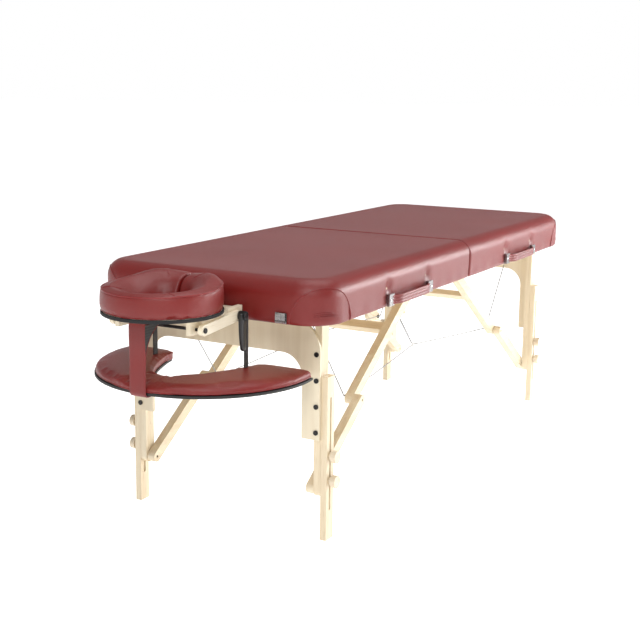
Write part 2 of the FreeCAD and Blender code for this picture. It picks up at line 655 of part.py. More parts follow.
def make_lower_leg(end, hand):
    """One sliding lower leg, slotted for the studs of its two knobs."""
    tag = f"{END_NAMES[end]}_{HAND_NAMES[hand]}"
    layer = ("leg_across - lower_leg_thick", "leg_across")
    half = "(leg_width / 2)"
    body = block(f"{tag}_lower_leg_shaft", end, hand, (f"leg_out - {half}", f"leg_out + {half}"),
                 layer, ("0", "lower_leg_long"))
    stud = "(bolt_radius + pin_gap)"
    low = "(knob_height - leg_retract)"
    high = "(knob_height + knob_pitch + leg_extend)"
    slot = [block(f"{tag}_slot", end, hand, (f"leg_out - {stud}", f"leg_out + {stud}"), layer,
                  (low, high))]
    for index, height in enumerate((low, high)):
        slot.append(pin_across(f"{tag}_slot_end_{index}", end, hand, "leg_out", layer, height, stud))
    node(f"{tag}_lower_leg", cut(f"{tag}_lower_leg_cut", body, slot))


def make_knob(end, hand, index):
    """One height knob: a turned head and neck with a threaded stud through both legs."""
    tag = f"{END_NAMES[end]}_{HAND_NAMES[hand]}_{('lower', 'upper')[index]}_knob"
    height = f"(knob_height + {index} * knob_pitch)"
    face = "(leg_across + slide_gap)"
    neck = pin_across(tag + "_neck", end, hand, "leg_out", (face, f"{face} + knob_neck"), height,
                      "knob_neck_radius")
    cap = pin_across(tag + "_cap", end, hand, "leg_out",
                     (f"{face} + knob_neck", "leg_across + knob_reach"), height, "knob_radius")
    stud = pin_across(tag + "_stud", end, hand, "leg_out",
                      (f"{UPPER_LEG_IN} + slide_gap", face), height, "bolt_radius")
    node(tag, joined(tag + "_solid", [neck, cap, stud]))


def cable(name, end, hand, start, finish):
    """A straight stretch of cable between two points given as (out, across, height)."""
    vectors = [FreeCAD.Vector(end * number(out), hand * number(across), number(height))
               for out, across, height in (start, finish)]
    run = vectors[1] - vectors[0]
    shift = FreeCAD.Vector(number(SHIFT_X), number(SHIFT_Y), 0)
    wire = doc.addObject("Part::Cylinder", name)
    bind(wire, "Radius", "cable_radius")
    wire.Height = run.Length
    wire.Placement = FreeCAD.Placement(vectors[0] + shift,
                                       FreeCAD.Rotation(FreeCAD.Vector(0, 0, 1), run))
    return wire


def make_cables(end):
    """Stay cables up to the leg pivots, and long cables to the rings under the split."""
    name = END_NAMES[end]
    elbow_out = f"(brace_head_out + {UPPER_STRUT_LONG} * cos({BRACE_ANGLE}))"
    elbow_height = f"({LEG_TOP} - {UPPER_STRUT_LONG} * sin({BRACE_ANGLE}))"
    gap = "2 * cable_radius"
    wires = []
    for hand in (RIGHT, LEFT):
        side = HAND_NAMES[hand]
        wires.append(cable(f"{name}_stay_{side}", end, hand,
                           (f"{elbow_out} + {gap}", CABLE_ACROSS, f"{elbow_height} + {gap}"),
                           ("leg_out - leg_width", CABLE_ACROSS,
                            f"{RAIL_TOP} - leg_width - {gap}")))
        wires.append(cable(f"{name}_long_{side}", end, hand,
                           (f"{elbow_out} - {gap}", CABLE_ACROSS, elbow_height),
                           (f"ring_radius + {gap}", "ring_across", "ring_height")))
        if end == HEAD:
            ring = doc.addObject("Part::Sphere", f"ring_{side}")
            bind(ring, "Radius", "ring_radius")
            place(ring, "0", f"{hand} * ring_across", "ring_height")
            wires.append(ring)
            wires.append(cable(f"riser_{side}", end, hand,
                               ("0", "ring_across - ring_radius", "ring_height + ring_radius"),
                               ("split_gap + rail_thick / 2", "centre_across",
                                f"{RAIL_BOTTOM} - cable_radius")))
    node(f"{name}_cables", group(f"{name}_cables_group", wires))


def make_handle(end):
    """Carrying strap on the right long side, bowed outward between two end caps."""
    name = END_NAMES[end]
    low = f"({PAD_BOTTOM} + handle_lift)"
    high = f"({low} + handle_width)"
    half = "(handle_span / 2)"
    radius = f"(({half} ^ 2 + handle_bow ^ 2) / (2 * handle_bow))"
    outside = f"({HALF_WIDTH} + handle_reach)"
    centre = f"({outside} - {radius})"
    outer = pin_up(f"{name}_handle_outer", end, RIGHT, "handle_out", centre, (low, high), radius)
    inner = pin_up(f"{name}_handle_inner", end, RIGHT, "handle_out", centre, (low, high),
                   f"{radius} - handle_thick")
    reach = block(f"{name}_handle_reach", end, RIGHT,
                  (f"handle_out - {half}", f"handle_out + {half}"),
                  (f"{HALF_WIDTH} - handle_thick", outside), (low, high))
    strap = common(f"{name}_handle_strap", [cut(f"{name}_handle_ring", outer, [inner]), reach])
    wall = block(f"{name}_handle_wall", end, RIGHT,
                 (f"handle_out - {half}", f"handle_out + {half}"),
                 (f"{HALF_WIDTH} - handle_reach", f"{HALF_WIDTH} + soft_gap"), (low, high))
    node(f"{name}_handle", cut(f"{name}_handle_solid", strap, [wall]))

    caps = []
    for index, sign in enumerate((-1, 1)):
        near = f"(handle_out + {sign} * {half})"
        far = f"(handle_out + {sign} * ({half} + cap_long))"
        out = (near, far) if sign > 0 else (far, near)
        caps.append(block(f"{name}_handle_cap_{index}", end, RIGHT, out,
                          (f"{HALF_WIDTH} + soft_gap", f"{HALF_WIDTH} + cap_reach"),
                          (f"{low} - edge_round", f"{high} + edge_round")))
    node(f"{name}_handle_caps", group(f"{name}_handle_caps_group", caps))


def make_latches():
    """Draw latches on the head end and the catches that they hook over on the foot end."""
    low = f"({PAD_BOTTOM} + latch_lift)"
    face = f"({HALF_LENGTH} + soft_gap)"
    plate_out = f"({face} + latch_thick)"
    axis_out = f"({plate_out} + latch_knuckle + pin_gap)"
    axis_height = f"({low} + 2 * latch_knuckle)"
    plates, catches = [], []
    for hand in (RIGHT, LEFT):
        side = HAND_NAMES[hand]
        across = ("latch_across - latch_width / 2", "latch_across + latch_width / 2")
        plates.append(block(f"latch_plate_{side}", HEAD, hand, (face, plate_out), across,
                            (low, f"{low} + latch_high")))
        inset = (f"{across[0]} + latch_thick", f"{across[1]} - latch_thick")
        barrel = pin_across(f"latch_barrel_{side}", HEAD, hand, axis_out, inset, axis_height,
                            "latch_knuckle")
        tongue = block(f"latch_tongue_{side}", HEAD, hand,
                       (f"{axis_out} - latch_thick / 2", f"{axis_out} + latch_thick / 2"), inset,
                       (axis_height, f"{low} + latch_high"))
        node(f"latch_lever_{side}", joined(f"latch_lever_{side}_solid", [barrel, tongue]))
        stem = block(f"catch_stem_{side}", FOOT, hand,
                     (face, f"{HALF_LENGTH} + catch_reach"),
                     (f"{across[0]} + latch_thick", f"{across[1]} - latch_thick"),
                     (low, f"{low} + latch_high / 2"))
        catches.append(stem)
    node("latch_plates", group("latch_plates_group", plates))
    node("latch_catches", group("latch_catches_group", catches))


def make_cradle_base():
    """Cross piece with two posts that slide into the table, and a cheek at each side."""
    near = f"({HALF_LENGTH} + cradle_gap)"
    far = f"({near} + base_thick)"
    solids = [block("cradle_cross_piece", HEAD, LEFT, (near, far), ("-base_across", "base_across"),
                    (f"{POST_Z} - base_high / 2", f"{POST_Z} + base_high / 2"))]
    for hand in (RIGHT, LEFT):
        side = HAND_NAMES[hand]
        solids.append(pin_along(f"cradle_post_{side}", HEAD, hand,
                                (f"{HALF_LENGTH} - post_deep", far), "post_across", POST_Z,
                                "post_radius"))
        cheek = block(f"cradle_cheek_{side}", HEAD, hand,
                      (f"{near}", f"{near} + cheek_long"),
                      ("base_across", "base_across + cheek_thick"),
                      (f"{POST_Z} - cheek_high / 2", f"{POST_Z} + cheek_high / 2"))
        solids.append(cheek)
    holes = [pin_across(f"cradle_cam_hole_{HAND_NAMES[hand]}", HEAD, hand, CAM_OUT,
                        ("base_across - cheek_thick", "base_across + 2 * cheek_thick"),
                        "cam_height", "(bolt_radius + pin_gap)") for hand in (RIGHT, LEFT)]
    node("cradle_base", cut("cradle_base_solid", joined("cradle_base_blank", solids), holes))


def make_cradle_bars():
    """Bars from the cam pivots to the rod that carries the platform, and that rod."""
    run = f"({ROD_OUT} - {CAM_OUT})"
    drop = "(cam_height - rod_height)"
    long = f"sqrt({run} ^ 2 + {drop} ^ 2)"
    bars = []
    for hand in (RIGHT, LEFT):
        tag = f"cradle_bar_{HAND_NAMES[hand]}"
        bar = cut(tag, bar_shape(tag, long, "bar_width", "bar_thick"),
                  [local_hole(tag + "_cam", "0", "bar_thick", "(bolt_radius + pin_gap)"),
                   local_hole(tag + "_rod", long, "bar_thick", "bolt_radius")])
        swing(bar, HEAD, CAM_OUT, f"{hand} * ({BAR_IN} + {BAR_OUT}) / 2", "cam_height",
              f"atan({drop} / {run})")
        bars.append(bar)
    node("cradle_bars", group("cradle_bars_group", bars))

    shank = pin_across("cradle_rod_shank", HEAD, LEFT, ROD_OUT, (f"-{BAR_OUT}", BAR_OUT),
                       "rod_height", "bolt_radius")
    caps = [pin_across(f"cradle_rod_cap_{HAND_NAMES[hand]}", HEAD, hand, ROD_OUT,
                       (BAR_OUT, f"{BAR_OUT} + bolt_head_thick"), "rod_height",
                       "bolt_head_radius") for hand in (RIGHT, LEFT)]
    node("cradle_rod", joined("cradle_rod_solid", [shank] + caps))


def horseshoe(name, radius, hole_radius, low, high):
    """A round pad with a face opening, open towards the table."""
    body = pin_up(name + "_disc", HEAD, LEFT, CUSHION_OUT, "0", (low, high), radius)
    face_out = f"({CUSHION_OUT} - face_shift)"
    opening = pin_up(name + "_face", HEAD, LEFT, face_out, "0", (low, high), hole_radius)
    mouth = block(name + "_mouth", HEAD, LEFT,
                  (f"{CUSHION_OUT} - cushion_radius - platform_inset", face_out),
                  ("-slot_width / 2", "slot_width / 2"), (low, high))
    return cut(name, body, [opening, mouth])


def make_cradle_top():
    """Plywood platform with two lugs for the rod, and the cushion on its hook band."""
    top = "(platform_bottom + platform_thick)"
    plate = horseshoe("platform_plate", "(cushion_radius - platform_inset)",
                      "(face_radius + platform_inset)", "platform_bottom", top)
    lug_out = f"({BAR_IN} - lug_gap)"
    lugs, holes = [], []
    for hand in (RIGHT, LEFT):
        tag = f"platform_lug_{HAND_NAMES[hand]}"
        layer = (f"{lug_out} - lug_thick", lug_out)
        lugs.append(block(tag, HEAD, hand,
                          (f"{ROD_OUT} - lug_long / 2", f"{ROD_OUT} + lug_long / 2"), layer,
                          ("rod_height - lug_thick", "platform_bottom")))
        holes.append(pin_across(tag + "_hole", HEAD, hand, ROD_OUT, layer, "rod_height",
                                "(bolt_radius + pin_gap)"))
    node("cradle_platform", cut("platform_solid", joined("platform_blank", [plate] + lugs), holes))

    low = f"({top} + hook_band)"
    node("cradle_cushion", horseshoe("cushion_solid", "cushion_radius", "face_radius", low,
                                     f"({low} + cushion_thick)"))


def make_cam_lever(hand):
    """Clamp lever of the cradle: a barrel on a stud, with a tapered handle hanging down."""
    tag = f"cam_lever_{HAND_NAMES[hand]}"
    face = f"({BAR_OUT} + slide_gap)"
    barrel_end = f"({face} + cam_long)"
    stud = pin_across(tag + "_stud", HEAD, hand, CAM_OUT,
                      (f"{face} - cam_stud_deep", face), "cam_height", "bolt_radius")
    barrel = pin_across(tag + "_barrel", HEAD, hand, CAM_OUT, (face, barrel_end), "cam_height",
                        "cam_radius")
    grip = block(tag + "_grip", HEAD, hand,
                 (f"{CAM_OUT} - lever_width / 2", f"{CAM_OUT} + lever_width / 2"),
                 (f"{barrel_end} - lever_thick", barrel_end),
                 ("cam_height - lever_long", "cam_height"))
    node(tag, joined(tag + "_solid", [stud, barrel, grip]))


def make_arm_shelf():
    """Padded crescent below the cradle, its wide front strap and two webbing straps."""
    low = "(shelf_top - shelf_thick)"
    height = (low, "shelf_top")
    outer = pin_up("shelf_outer", HEAD, LEFT, SHELF_OUT, "0", height, "shelf_radius")
    reach = block("shelf_reach", HEAD, LEFT, (f"{SHELF_OUT} - shelf_horn", SHELF_FRONT),
                  ("-shelf_radius", "shelf_radius"), height)
    bay_out = f"({SHELF_FRONT} - shelf_depth - bay_radius)"
    bay = [pin_up("shelf_bay_end", HEAD, LEFT, bay_out, "0", height, "bay_radius"),
           block("shelf_bay_sides", HEAD, LEFT, (f"{SHELF_OUT} - shelf_radius", bay_out),
                 ("-bay_radius", "bay_radius"), height)]
    node("arm_shelf", cut("arm_shelf_solid", common("arm_shelf_blank", [outer, reach]), bay))

    front = f"({SHELF_FRONT} + soft_gap)"
    node("shelf_front_strap",
         block("shelf_front_strap_box", HEAD, LEFT, (front, f"{front} + front_strap_thick"),
               ("-front_strap_width / 2", "front_strap_width / 2"),
               (low, "platform_bottom - side_gap")))
    straps = [block(f"shelf_strap_{HAND_NAMES[hand]}", HEAD, hand,
                    (f"{STRAP_OUT} - strap_width / 2", f"{STRAP_OUT} + strap_width / 2"),
                    (f"{BAR_OUT} + strap_gap", f"{BAR_OUT} + strap_gap + strap_thick"),
                    ("shelf_top + soft_gap", "cam_height")) for hand in (RIGHT, LEFT)]
    node("shelf_rear_straps", group("shelf_rear_straps_group", straps))


def make_table():
    """Every sub-part, end by end."""
    for end in (HEAD, FOOT):
        make_pad(end)
        make_frame(end)
        make_pivot_blocks(end)
        make_struts(end)
        make_legs(end)
        make_cables(end)
        make_handle(end)
        for hand in (RIGHT, LEFT):
            make_lower_leg(end, hand)
            for index in range(2):
                make_knob(end, hand, index)
    make_centre_hinges()
    make_latches()
    make_cradle_base()
    make_cradle_bars()
    make_cradle_top()
    for hand in (RIGHT, LEFT):
        make_cam_lever(hand)
    make_arm_shelf()


def check_document():
    """Stop if any object failed, or if a sub-part's shape is empty or broken."""
    doc.recompute()
    for thing in doc.Objects:
        if "Invalid" in thing.State or "Error" in thing.State:
            raise RuntimeError(f"{thing.Name} did not build: {thing.State}")
    for label, piece in nodes.items():
        if piece.Shape.isNull() or not piece.Shape.isValid() or not piece.Shape.Solids:
            raise RuntimeError(f"{label} has no valid solid")


def write_parts():
    """One STEP file for each sub-part."""
    os.makedirs("parts", exist_ok=True)
    for label, piece in nodes.items():
        piece.Shape.exportStep(f"parts/{label}.step")
        box = piece.Shape.BoundBox
        print(f"{label}: {len(piece.Shape.Solids)} solids,"
              f" x {box.XMin:.1f}..{box.XMax:.1f}, y {box.YMin:.1f}..{box.YMax:.1f},"
              f" z {box.ZMin:.1f}..{box.ZMax:.1f}")
    print(f"{len(nodes)} sub-parts, brace angle {number(BRACE_ANGLE):.3f} degrees")


make_table()
check_document()
write_parts()
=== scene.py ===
# %% [markdown]
# # A folding massage table with a face cradle and an arm shelf
# This lesson adds what a maker would sew, pad, coat and light: leather covers, straps,
# cables, lacquered beech, and the levers. New pieces are surfaces worked out with numpy,
# so that each shape can be read as a formula.

# %% Tools and the table's frame
import bpy, bmesh, json, math
import numpy as np
from mathutils import Vector, Matrix
from mathutils.bvhtree import BVHTree

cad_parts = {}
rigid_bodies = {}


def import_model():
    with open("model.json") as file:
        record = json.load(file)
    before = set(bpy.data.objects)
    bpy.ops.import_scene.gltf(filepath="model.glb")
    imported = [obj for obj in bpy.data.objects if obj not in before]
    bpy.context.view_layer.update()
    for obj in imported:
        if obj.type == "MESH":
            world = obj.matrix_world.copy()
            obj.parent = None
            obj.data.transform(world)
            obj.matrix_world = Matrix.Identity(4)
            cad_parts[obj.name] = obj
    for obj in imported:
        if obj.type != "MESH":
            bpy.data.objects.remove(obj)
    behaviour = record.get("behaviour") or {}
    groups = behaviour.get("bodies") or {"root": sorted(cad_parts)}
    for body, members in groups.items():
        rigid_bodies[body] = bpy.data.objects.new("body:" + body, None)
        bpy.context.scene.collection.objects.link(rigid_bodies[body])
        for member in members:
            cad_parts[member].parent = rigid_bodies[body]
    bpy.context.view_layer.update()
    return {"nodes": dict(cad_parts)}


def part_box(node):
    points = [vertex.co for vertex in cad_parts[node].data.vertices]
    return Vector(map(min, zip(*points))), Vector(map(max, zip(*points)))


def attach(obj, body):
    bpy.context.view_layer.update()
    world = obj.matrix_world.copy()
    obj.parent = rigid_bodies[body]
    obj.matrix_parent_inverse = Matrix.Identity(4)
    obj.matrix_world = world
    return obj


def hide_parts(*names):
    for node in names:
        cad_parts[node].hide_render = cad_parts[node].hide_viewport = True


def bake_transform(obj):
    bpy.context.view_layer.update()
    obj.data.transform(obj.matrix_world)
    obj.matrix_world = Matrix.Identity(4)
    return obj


for thing in list(bpy.data.objects):
    bpy.data.objects.remove(thing)
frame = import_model()
nodes = frame["nodes"]


def box(node):
    """Lowest and highest corner of a frame piece, as two arrays."""
    low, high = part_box(node)
    return np.array(low), np.array(high)


# %% [markdown]
# The table's own centre is not the middle of its box, because the cradle sticks out at one
# end and the handles at one side.  The split between the halves and the middle of the deck
# give the centre back, and the rest of the lesson measures from there.

# %% The split, the centre line and the ends
PAD, BOARD = box("head_pad"), box("head_deck")
SPLIT = (PAD[1][0] + box("foot_pad")[0][0]) / 2
MIDDLE = (BOARD[0][1] + BOARD[1][1]) / 2
TOP, PAD_LOW = PAD[1][2], PAD[0][2]
HALF_WIDE = BOARD[1][1] - MIDDLE + .009
HALF_LONG = SPLIT - BOARD[0][0] + .009
ENDS = ("head", -1), ("foot", 1)
HANDS = ("right", -1), ("left", 1)
print("split x %.4f, middle y %.4f" % (SPLIT, MIDDLE))
print("half width %.3f, half length %.3f" % (HALF_WIDE, HALF_LONG))

# %% [markdown]
# Every new mesh is built the same way: an array of points, an array of faces, a material, and
# the body that it rides on.  Grids of points become four-sided faces, wrapped round where a
# surface closes on itself.

# %% Meshes from arrays
def grid_faces(rows, columns, closed=False):
    """Four-sided faces of a grid whose columns wrap round; closed wraps its rows round as well."""
    r = np.arange(rows if closed else rows - 1)[:, None]
    c = np.arange(columns)[None, :]
    below, beside = (r + 1) % rows, (c + 1) % columns
    corners = [r * columns + c, r * columns + beside, below * columns + beside, below * columns + c]
    return np.stack(corners, -1).reshape(-1, 4)


def tube_faces(rows, columns):
    """Faces of a tube whose sections are closed loops, with a lid on its first and last section."""
    lids = [list(range(columns)), list(range((rows - 1) * columns, rows * columns))[::-1]]
    return [list(f) for f in grid_faces(rows, columns)] + lids


def placed(name, mesh, body):
    """An object for a mesh, riding on a body if one is given."""
    piece = bpy.data.objects.new(name, mesh)
    bpy.context.scene.collection.objects.link(piece)
    if body is not None:
        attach(piece, body)
    return piece


def make(name, points, faces, material, body, smooth=True, uv=None, merge=0.0):
    """A mesh object at the origin from points and faces; merge joins points closer than that."""
    mesh = bpy.data.meshes.new(name)
    mesh.from_pydata(np.asarray(points, float).reshape(-1, 3).tolist(), [],
                     [list(map(int, f)) for f in faces])
    if uv is not None:
        layer = mesh.uv_layers.new(name="surface")
        corner = np.zeros(len(mesh.loops), np.int32)
        mesh.loops.foreach_get("vertex_index", corner)
        layer.data.foreach_set("uv", np.asarray(uv, np.float32).reshape(-1, 2)[corner].ravel())
    if merge:
        work = bmesh.new()
        work.from_mesh(mesh)
        bmesh.ops.remove_doubles(work, verts=work.verts, dist=merge)
        bmesh.ops.dissolve_degenerate(work, edges=work.edges, dist=merge / 2)
        bmesh.ops.recalc_face_normals(work, faces=work.faces)
        work.to_mesh(mesh)
        work.free()
    mesh.polygons.foreach_set("use_smooth", [smooth] * len(mesh.polygons))
    mesh.materials.append(material)
    return placed(name, mesh, body)


def outward(piece):
    """Turn a closed piece's faces to point out."""
    work = bmesh.new()
    work.from_mesh(piece.data)
    bmesh.ops.recalc_face_normals(work, faces=work.faces)
    work.to_mesh(piece.data)
    work.free()
    return piece


def tube(name, points, material, body, smooth=True, uv=None):
    """A closed solid through a grid of points, one closed section a row."""
    faces = tube_faces(*points.shape[:2])
    return outward(make(name, points, faces, material, body, smooth, uv))


# %% [markdown]
# A cable, a seam or a strap is a profile carried along a path.  At each point of the path
# the profile stands square to the direction of travel, and a fixed "up" keeps it from turning.

# %% A profile along a path
def along(path, profile, up=(0, 0, 1), closed=False):
    """Points of profile (across, up) set square to the path at each of its points."""
    path = np.asarray(path, float)
    ahead = np.roll(path, -1, 0) - np.roll(path, 1, 0)
    if not closed:
        ahead[0], ahead[-1] = path[1] - path[0], path[-1] - path[-2]
    ahead /= np.linalg.norm(ahead, axis=1)[:, None] + 1e-12
    up = np.broadcast_to(np.asarray(up, float), path.shape)
    side = np.cross(ahead, up)
    side /= np.linalg.norm(side, axis=1)[:, None] + 1e-12
    rise = np.cross(side, ahead)
    profile = np.asarray(profile, float)
    return path[:, None] + side[:, None] * profile[None, :, :1] + rise[:, None] * profile[None, :, 1:2]


def full_turn(steps):
    """Evenly spaced angles once round, without the last one repeated."""
    return np.linspace(0, 2 * np.pi, steps, endpoint=False)


def distances(track):
    """Length along a track up to each of its points: the running sum of its straight steps."""
    return np.concatenate([[0], np.cumsum(np.linalg.norm(np.diff(track, axis=0), axis=1))])


def between(start, end, t):
    """Points at shares t of the way from start to end."""
    return np.array(start) * (1 - t) + np.array(end) * t


def circle(radius, steps):
    """Points of a circle, anticlockwise."""
    turn = full_turn(steps)
    return np.stack([np.cos(turn), np.sin(turn)], 1) * radius


def swept(name, path, profile, material, body, up=(0, 0, 1), closed=False):
    """A closed solid: the profile along the path, with an end cap at each end if it is open."""
    points = along(path, profile, up, closed)
    if not closed:
        return tube(name, points, material, body)
    return outward(make(name, points, grid_faces(*points.shape[:2], True), material, body))


def seam(path, radius, body, closed=False):
    """A thin round roll of the cover's leather along a path."""
    return swept("seam", path, circle(radius, 8), PIPING, body, closed=closed)


def joined(name, pieces, body):
    """Several new pieces made into one, riding on one body."""
    work = bmesh.new()
    for piece in pieces:
        work.from_mesh(piece.data)
    mesh = bpy.data.meshes.new(name)
    work.to_mesh(mesh)
    work.free()
    mesh.materials.append(pieces[0].data.materials[0])
    for piece in pieces:
        bpy.data.objects.remove(piece)
    return placed(name, mesh, body)


# %% [markdown]
# ## Materials
# Each finish is a small node tree.  Numbers that are the same all over sit on the shader's
# own sockets; only what varies over the surface comes through nodes, read from Object
# coordinates so that it stays put on the piece.

# %% A helper for node trees
def finish_of(name, **fixed):
    """A new material with a Principled shader, its fixed sockets set; returns material, tree, shader."""
    material = bpy.data.materials.new(name)
    material.use_nodes = True
    tree = material.node_tree
    shader = tree.nodes["Principled BSDF"]
    for socket, value in fixed.items():
        shader.inputs[socket.replace("_", " ")].default_value = value
    return material, tree, shader


def add(tree, kind, **values):
    """A node of that kind with its properties or inputs set by name."""
    node = tree.nodes.new(kind)
    for key, value in values.items():
        if hasattr(node, key):
            setattr(node, key, value)
        else:
            node.inputs[key.replace("_", " ")].default_value = value
    return node


def ramp(tree, factor, *stops):
    """A colour ramp from (position, colour) stops."""
    node = tree.nodes.new("ShaderNodeValToRGB")
    while len(node.color_ramp.elements) < len(stops):
        node.color_ramp.elements.new(.5)
    for element, (place, colour) in zip(node.color_ramp.elements, stops):
        element.position = place
        element.color = (*colour, 1)
    tree.links.new(factor, node.inputs["Fac"])
    return node.outputs["Color"]


def coordinates(tree, scale=(1, 1, 1), turn=(0, 0, 0)):
    """Object coordinates, turned and stretched."""
    where = tree.nodes.new("ShaderNodeTexCoord")
    mapping = add(tree, "ShaderNodeMapping", Scale=scale, Rotation=turn)
    tree.links.new(where.outputs["Object"], mapping.inputs["Vector"])
    return mapping.outputs["Vector"]


def noise(tree, where, output="Fac", **values):
    """Noise read at a place, with its settings by name."""
    node = add(tree, "ShaderNodeTexNoise", **values)
    tree.links.new(where, node.inputs["Vector"])
    return node.outputs[output]


def darkened(tree, shader, tone, shade, amount):
    """Base colour = tone x shade, mixed in by an amount."""
    node = add(tree, "ShaderNodeMix", data_type="RGBA", blend_type="MULTIPLY", Factor=amount)
    tree.links.new(tone, node.inputs[6])
    tree.links.new(shade, node.inputs[7])
    tree.links.new(node.outputs[2], shader.inputs["Base Color"])


def glossed(tree, shader, factor, low, high, start=0.0, end=1.0):
    """Roughness goes from low to high as the factor goes from start to end."""
    node = add(tree, "ShaderNodeMapRange", From_Min=start, From_Max=end, To_Min=low, To_Max=high)
    tree.links.new(factor, node.inputs["Value"])
    tree.links.new(node.outputs["Result"], shader.inputs["Roughness"])


def bump(tree, shader, height, distance, strength):
    """Send a height to the shader's normal."""
    node = add(tree, "ShaderNodeBump", Distance=distance, Strength=strength)
    tree.links.new(height, node.inputs["Height"])
    tree.links.new(node.outputs["Normal"], shader.inputs["Normal"])


# %% [markdown]
# The cover is a soft burgundy upholstery leather.  Real hide shows small rounded pebbles with
# fine creases between them, so a cell pattern gives the pebbles, a noise bends it, and the same
# pattern makes the valleys a little darker and duller than the tops.

# %% Burgundy leather
def leather(name, colour, deep, roughness=.36):
    """Pebbled leather: cell pattern for height and gloss, slow noise for colour."""
    material, tree, shader = finish_of(name, Roughness=roughness, Specular_IOR_Level=.5,
                                       Coat_Weight=.08, Coat_Roughness=.3)
    link = tree.links.new
    where = coordinates(tree)
    shift = add(tree, "ShaderNodeVectorMath", operation="SCALE", Scale=.0022)
    link(noise(tree, where, "Color", Scale=260.0, Detail=3.0), shift.inputs[0])
    moved = add(tree, "ShaderNodeVectorMath", operation="ADD")
    link(where, moved.inputs[0])
    link(shift.outputs[0], moved.inputs[1])
    cells = add(tree, "ShaderNodeTexVoronoi", feature="DISTANCE_TO_EDGE", Scale=560.0)
    link(moved.outputs[0], cells.inputs["Vector"])
    pebble = add(tree, "ShaderNodeMapRange", interpolation_type="SMOOTHSTEP", From_Max=.22)
    link(cells.outputs["Distance"], pebble.inputs["Value"])
    pebbles = pebble.outputs["Result"]
    slow = noise(tree, where, Scale=5.0, Detail=4.0, Roughness=.55)
    shade = ramp(tree, pebbles, (0, (.62, .55, .55)), (1, (1, 1, 1)))
    darkened(tree, shader, ramp(tree, slow, (.3, deep), (.7, colour)), shade, .35)
    glossed(tree, shader, pebbles, roughness + .12, roughness - .03)
    bump(tree, shader, pebbles, .00012, .8)
    return material


COVER = leather("cover_leather", (.215, .0105, .0078), (.180, .0078, .0060))
VINYL = leather("strap_vinyl", (.205, .0098, .0076), (.165, .0072, .0058), .32)
PIPING = leather("seam_leather", (.25, .014, .014), (.20, .009, .009), .28)
print("leathers ready")

# %% [markdown]
# The frame is pale beech under a cream lacquer.  A noise stretched along the grain makes long
# streaks, and short dark dashes stand for beech's flecks.  Each piece's grain runs along its
# length, so one recipe is used with different turns.

# %% Lacquered beech
def wood(name, along_axis, pale, dark, turn=(0, 0, 0), roughness=.34, fleck=.5):
    """Grain as noise squeezed across the piece; along_axis is 0, 1 or 2 after the turn."""
    material, tree, shader = finish_of(name, Specular_IOR_Level=.45, Coat_Weight=.25, Coat_Roughness=.18)
    stretch, fine = np.full(3, 42.0), np.full(3, 520.0)
    stretch[along_axis], fine[along_axis] = 2.2, 26.0
    streak = noise(tree, coordinates(tree, stretch, turn),
                   Scale=1.0, Detail=6.0, Roughness=.62, Distortion=.35)
    dash = noise(tree, coordinates(tree, fine, turn), Scale=1.0, Detail=1.0)
    dashes = ramp(tree, dash, (.60, (1, 1, 1)), (.72, (.74, .64, .52)))
    darkened(tree, shader, ramp(tree, streak, (.32, dark), (.62, pale)), dashes, fleck)
    glossed(tree, shader, streak, roughness - .06, roughness + .08)
    bump(tree, shader, dash, .00006, .5)
    return material


PALE, HONEY = (.78, .68, .50), (.66, .53, .35)
strut = box("head_upper_struts")
lean = math.atan2(strut[1][2] - strut[0][2] - .030, strut[1][0] - strut[0][0] - .030)
WOOD_X = wood("beech_along", 0, PALE, HONEY)
WOOD_Y = wood("beech_across", 1, PALE, HONEY)
WOOD_Z = wood("beech_upright", 2, PALE, HONEY)
WOOD_HEAD = wood("beech_head_strut", 0, PALE, HONEY, (0, lean, 0))
WOOD_FOOT = wood("beech_foot_strut", 0, PALE, HONEY, (0, -lean, 0))
WOOD_KNOB = wood("turned_beech", 1, (.80, .70, .54), (.66, .54, .38), roughness=.3)
WOOD_CRADLE = wood("beech_cradle", 0, (.84, .76, .60), (.76, .66, .48))
print("beech ready, strut lean %.1f degrees" % math.degrees(lean))

# %% [markdown]
# Plywood has a quiet face and a striped edge.  The stripes are a ladder of thin layers through
# the board's thickness: on the face the ladder has only one value, so it shows on edges alone.

# %% Plywood
def plywood(name, through, face, edge, layers_per_metre):
    """Face grain, darkened in thin layers along the through axis (0, 1 or 2)."""
    material, tree, shader = finish_of(name, Specular_IOR_Level=.45, Coat_Weight=.2, Coat_Roughness=.2)
    stretch, layers = np.full(3, 30.0), np.full(3, .001)
    stretch[2 if through != 2 else 0], layers[through] = 2.0, layers_per_metre
    grain = noise(tree, coordinates(tree, stretch), Scale=1.0, Detail=5.0, Roughness=.6)
    stripes = add(tree, "ShaderNodeTexWave", wave_type="BANDS", bands_direction="DIAGONAL",
                  Scale=.5, Distortion=.6, Detail=1.0)
    tree.links.new(coordinates(tree, layers), stripes.inputs["Vector"])
    shade = ramp(tree, stripes.outputs["Fac"], (.25, (.72, .62, .50)), (.6, (1, 1, 1)))
    darkened(tree, shader, ramp(tree, grain, (.3, edge), (.6, face)), shade, .3)
    glossed(tree, shader, grain, .3, .42)
    bump(tree, shader, grain, .00008, .4)
    return material


PANEL = plywood("panel_ply", 0, (.76, .67, .50), (.69, .59, .42), 700)
DECK = plywood("deck_ply", 2, (.62, .49, .33), (.52, .40, .26), 900)
PLATFORM = plywood("platform_ply", 2, (.84, .76, .60), (.78, .69, .52), 900)
print("plywood ready")

# %% [markdown]
# Metal and moulded parts are mostly about gloss.  Black bolts are oiled steel with faint wear,
# the hinge leaves are zinc with fine brushing, chrome is nearly a mirror with a few marks, and
# the levers are black plastic with a soft moulded texture.

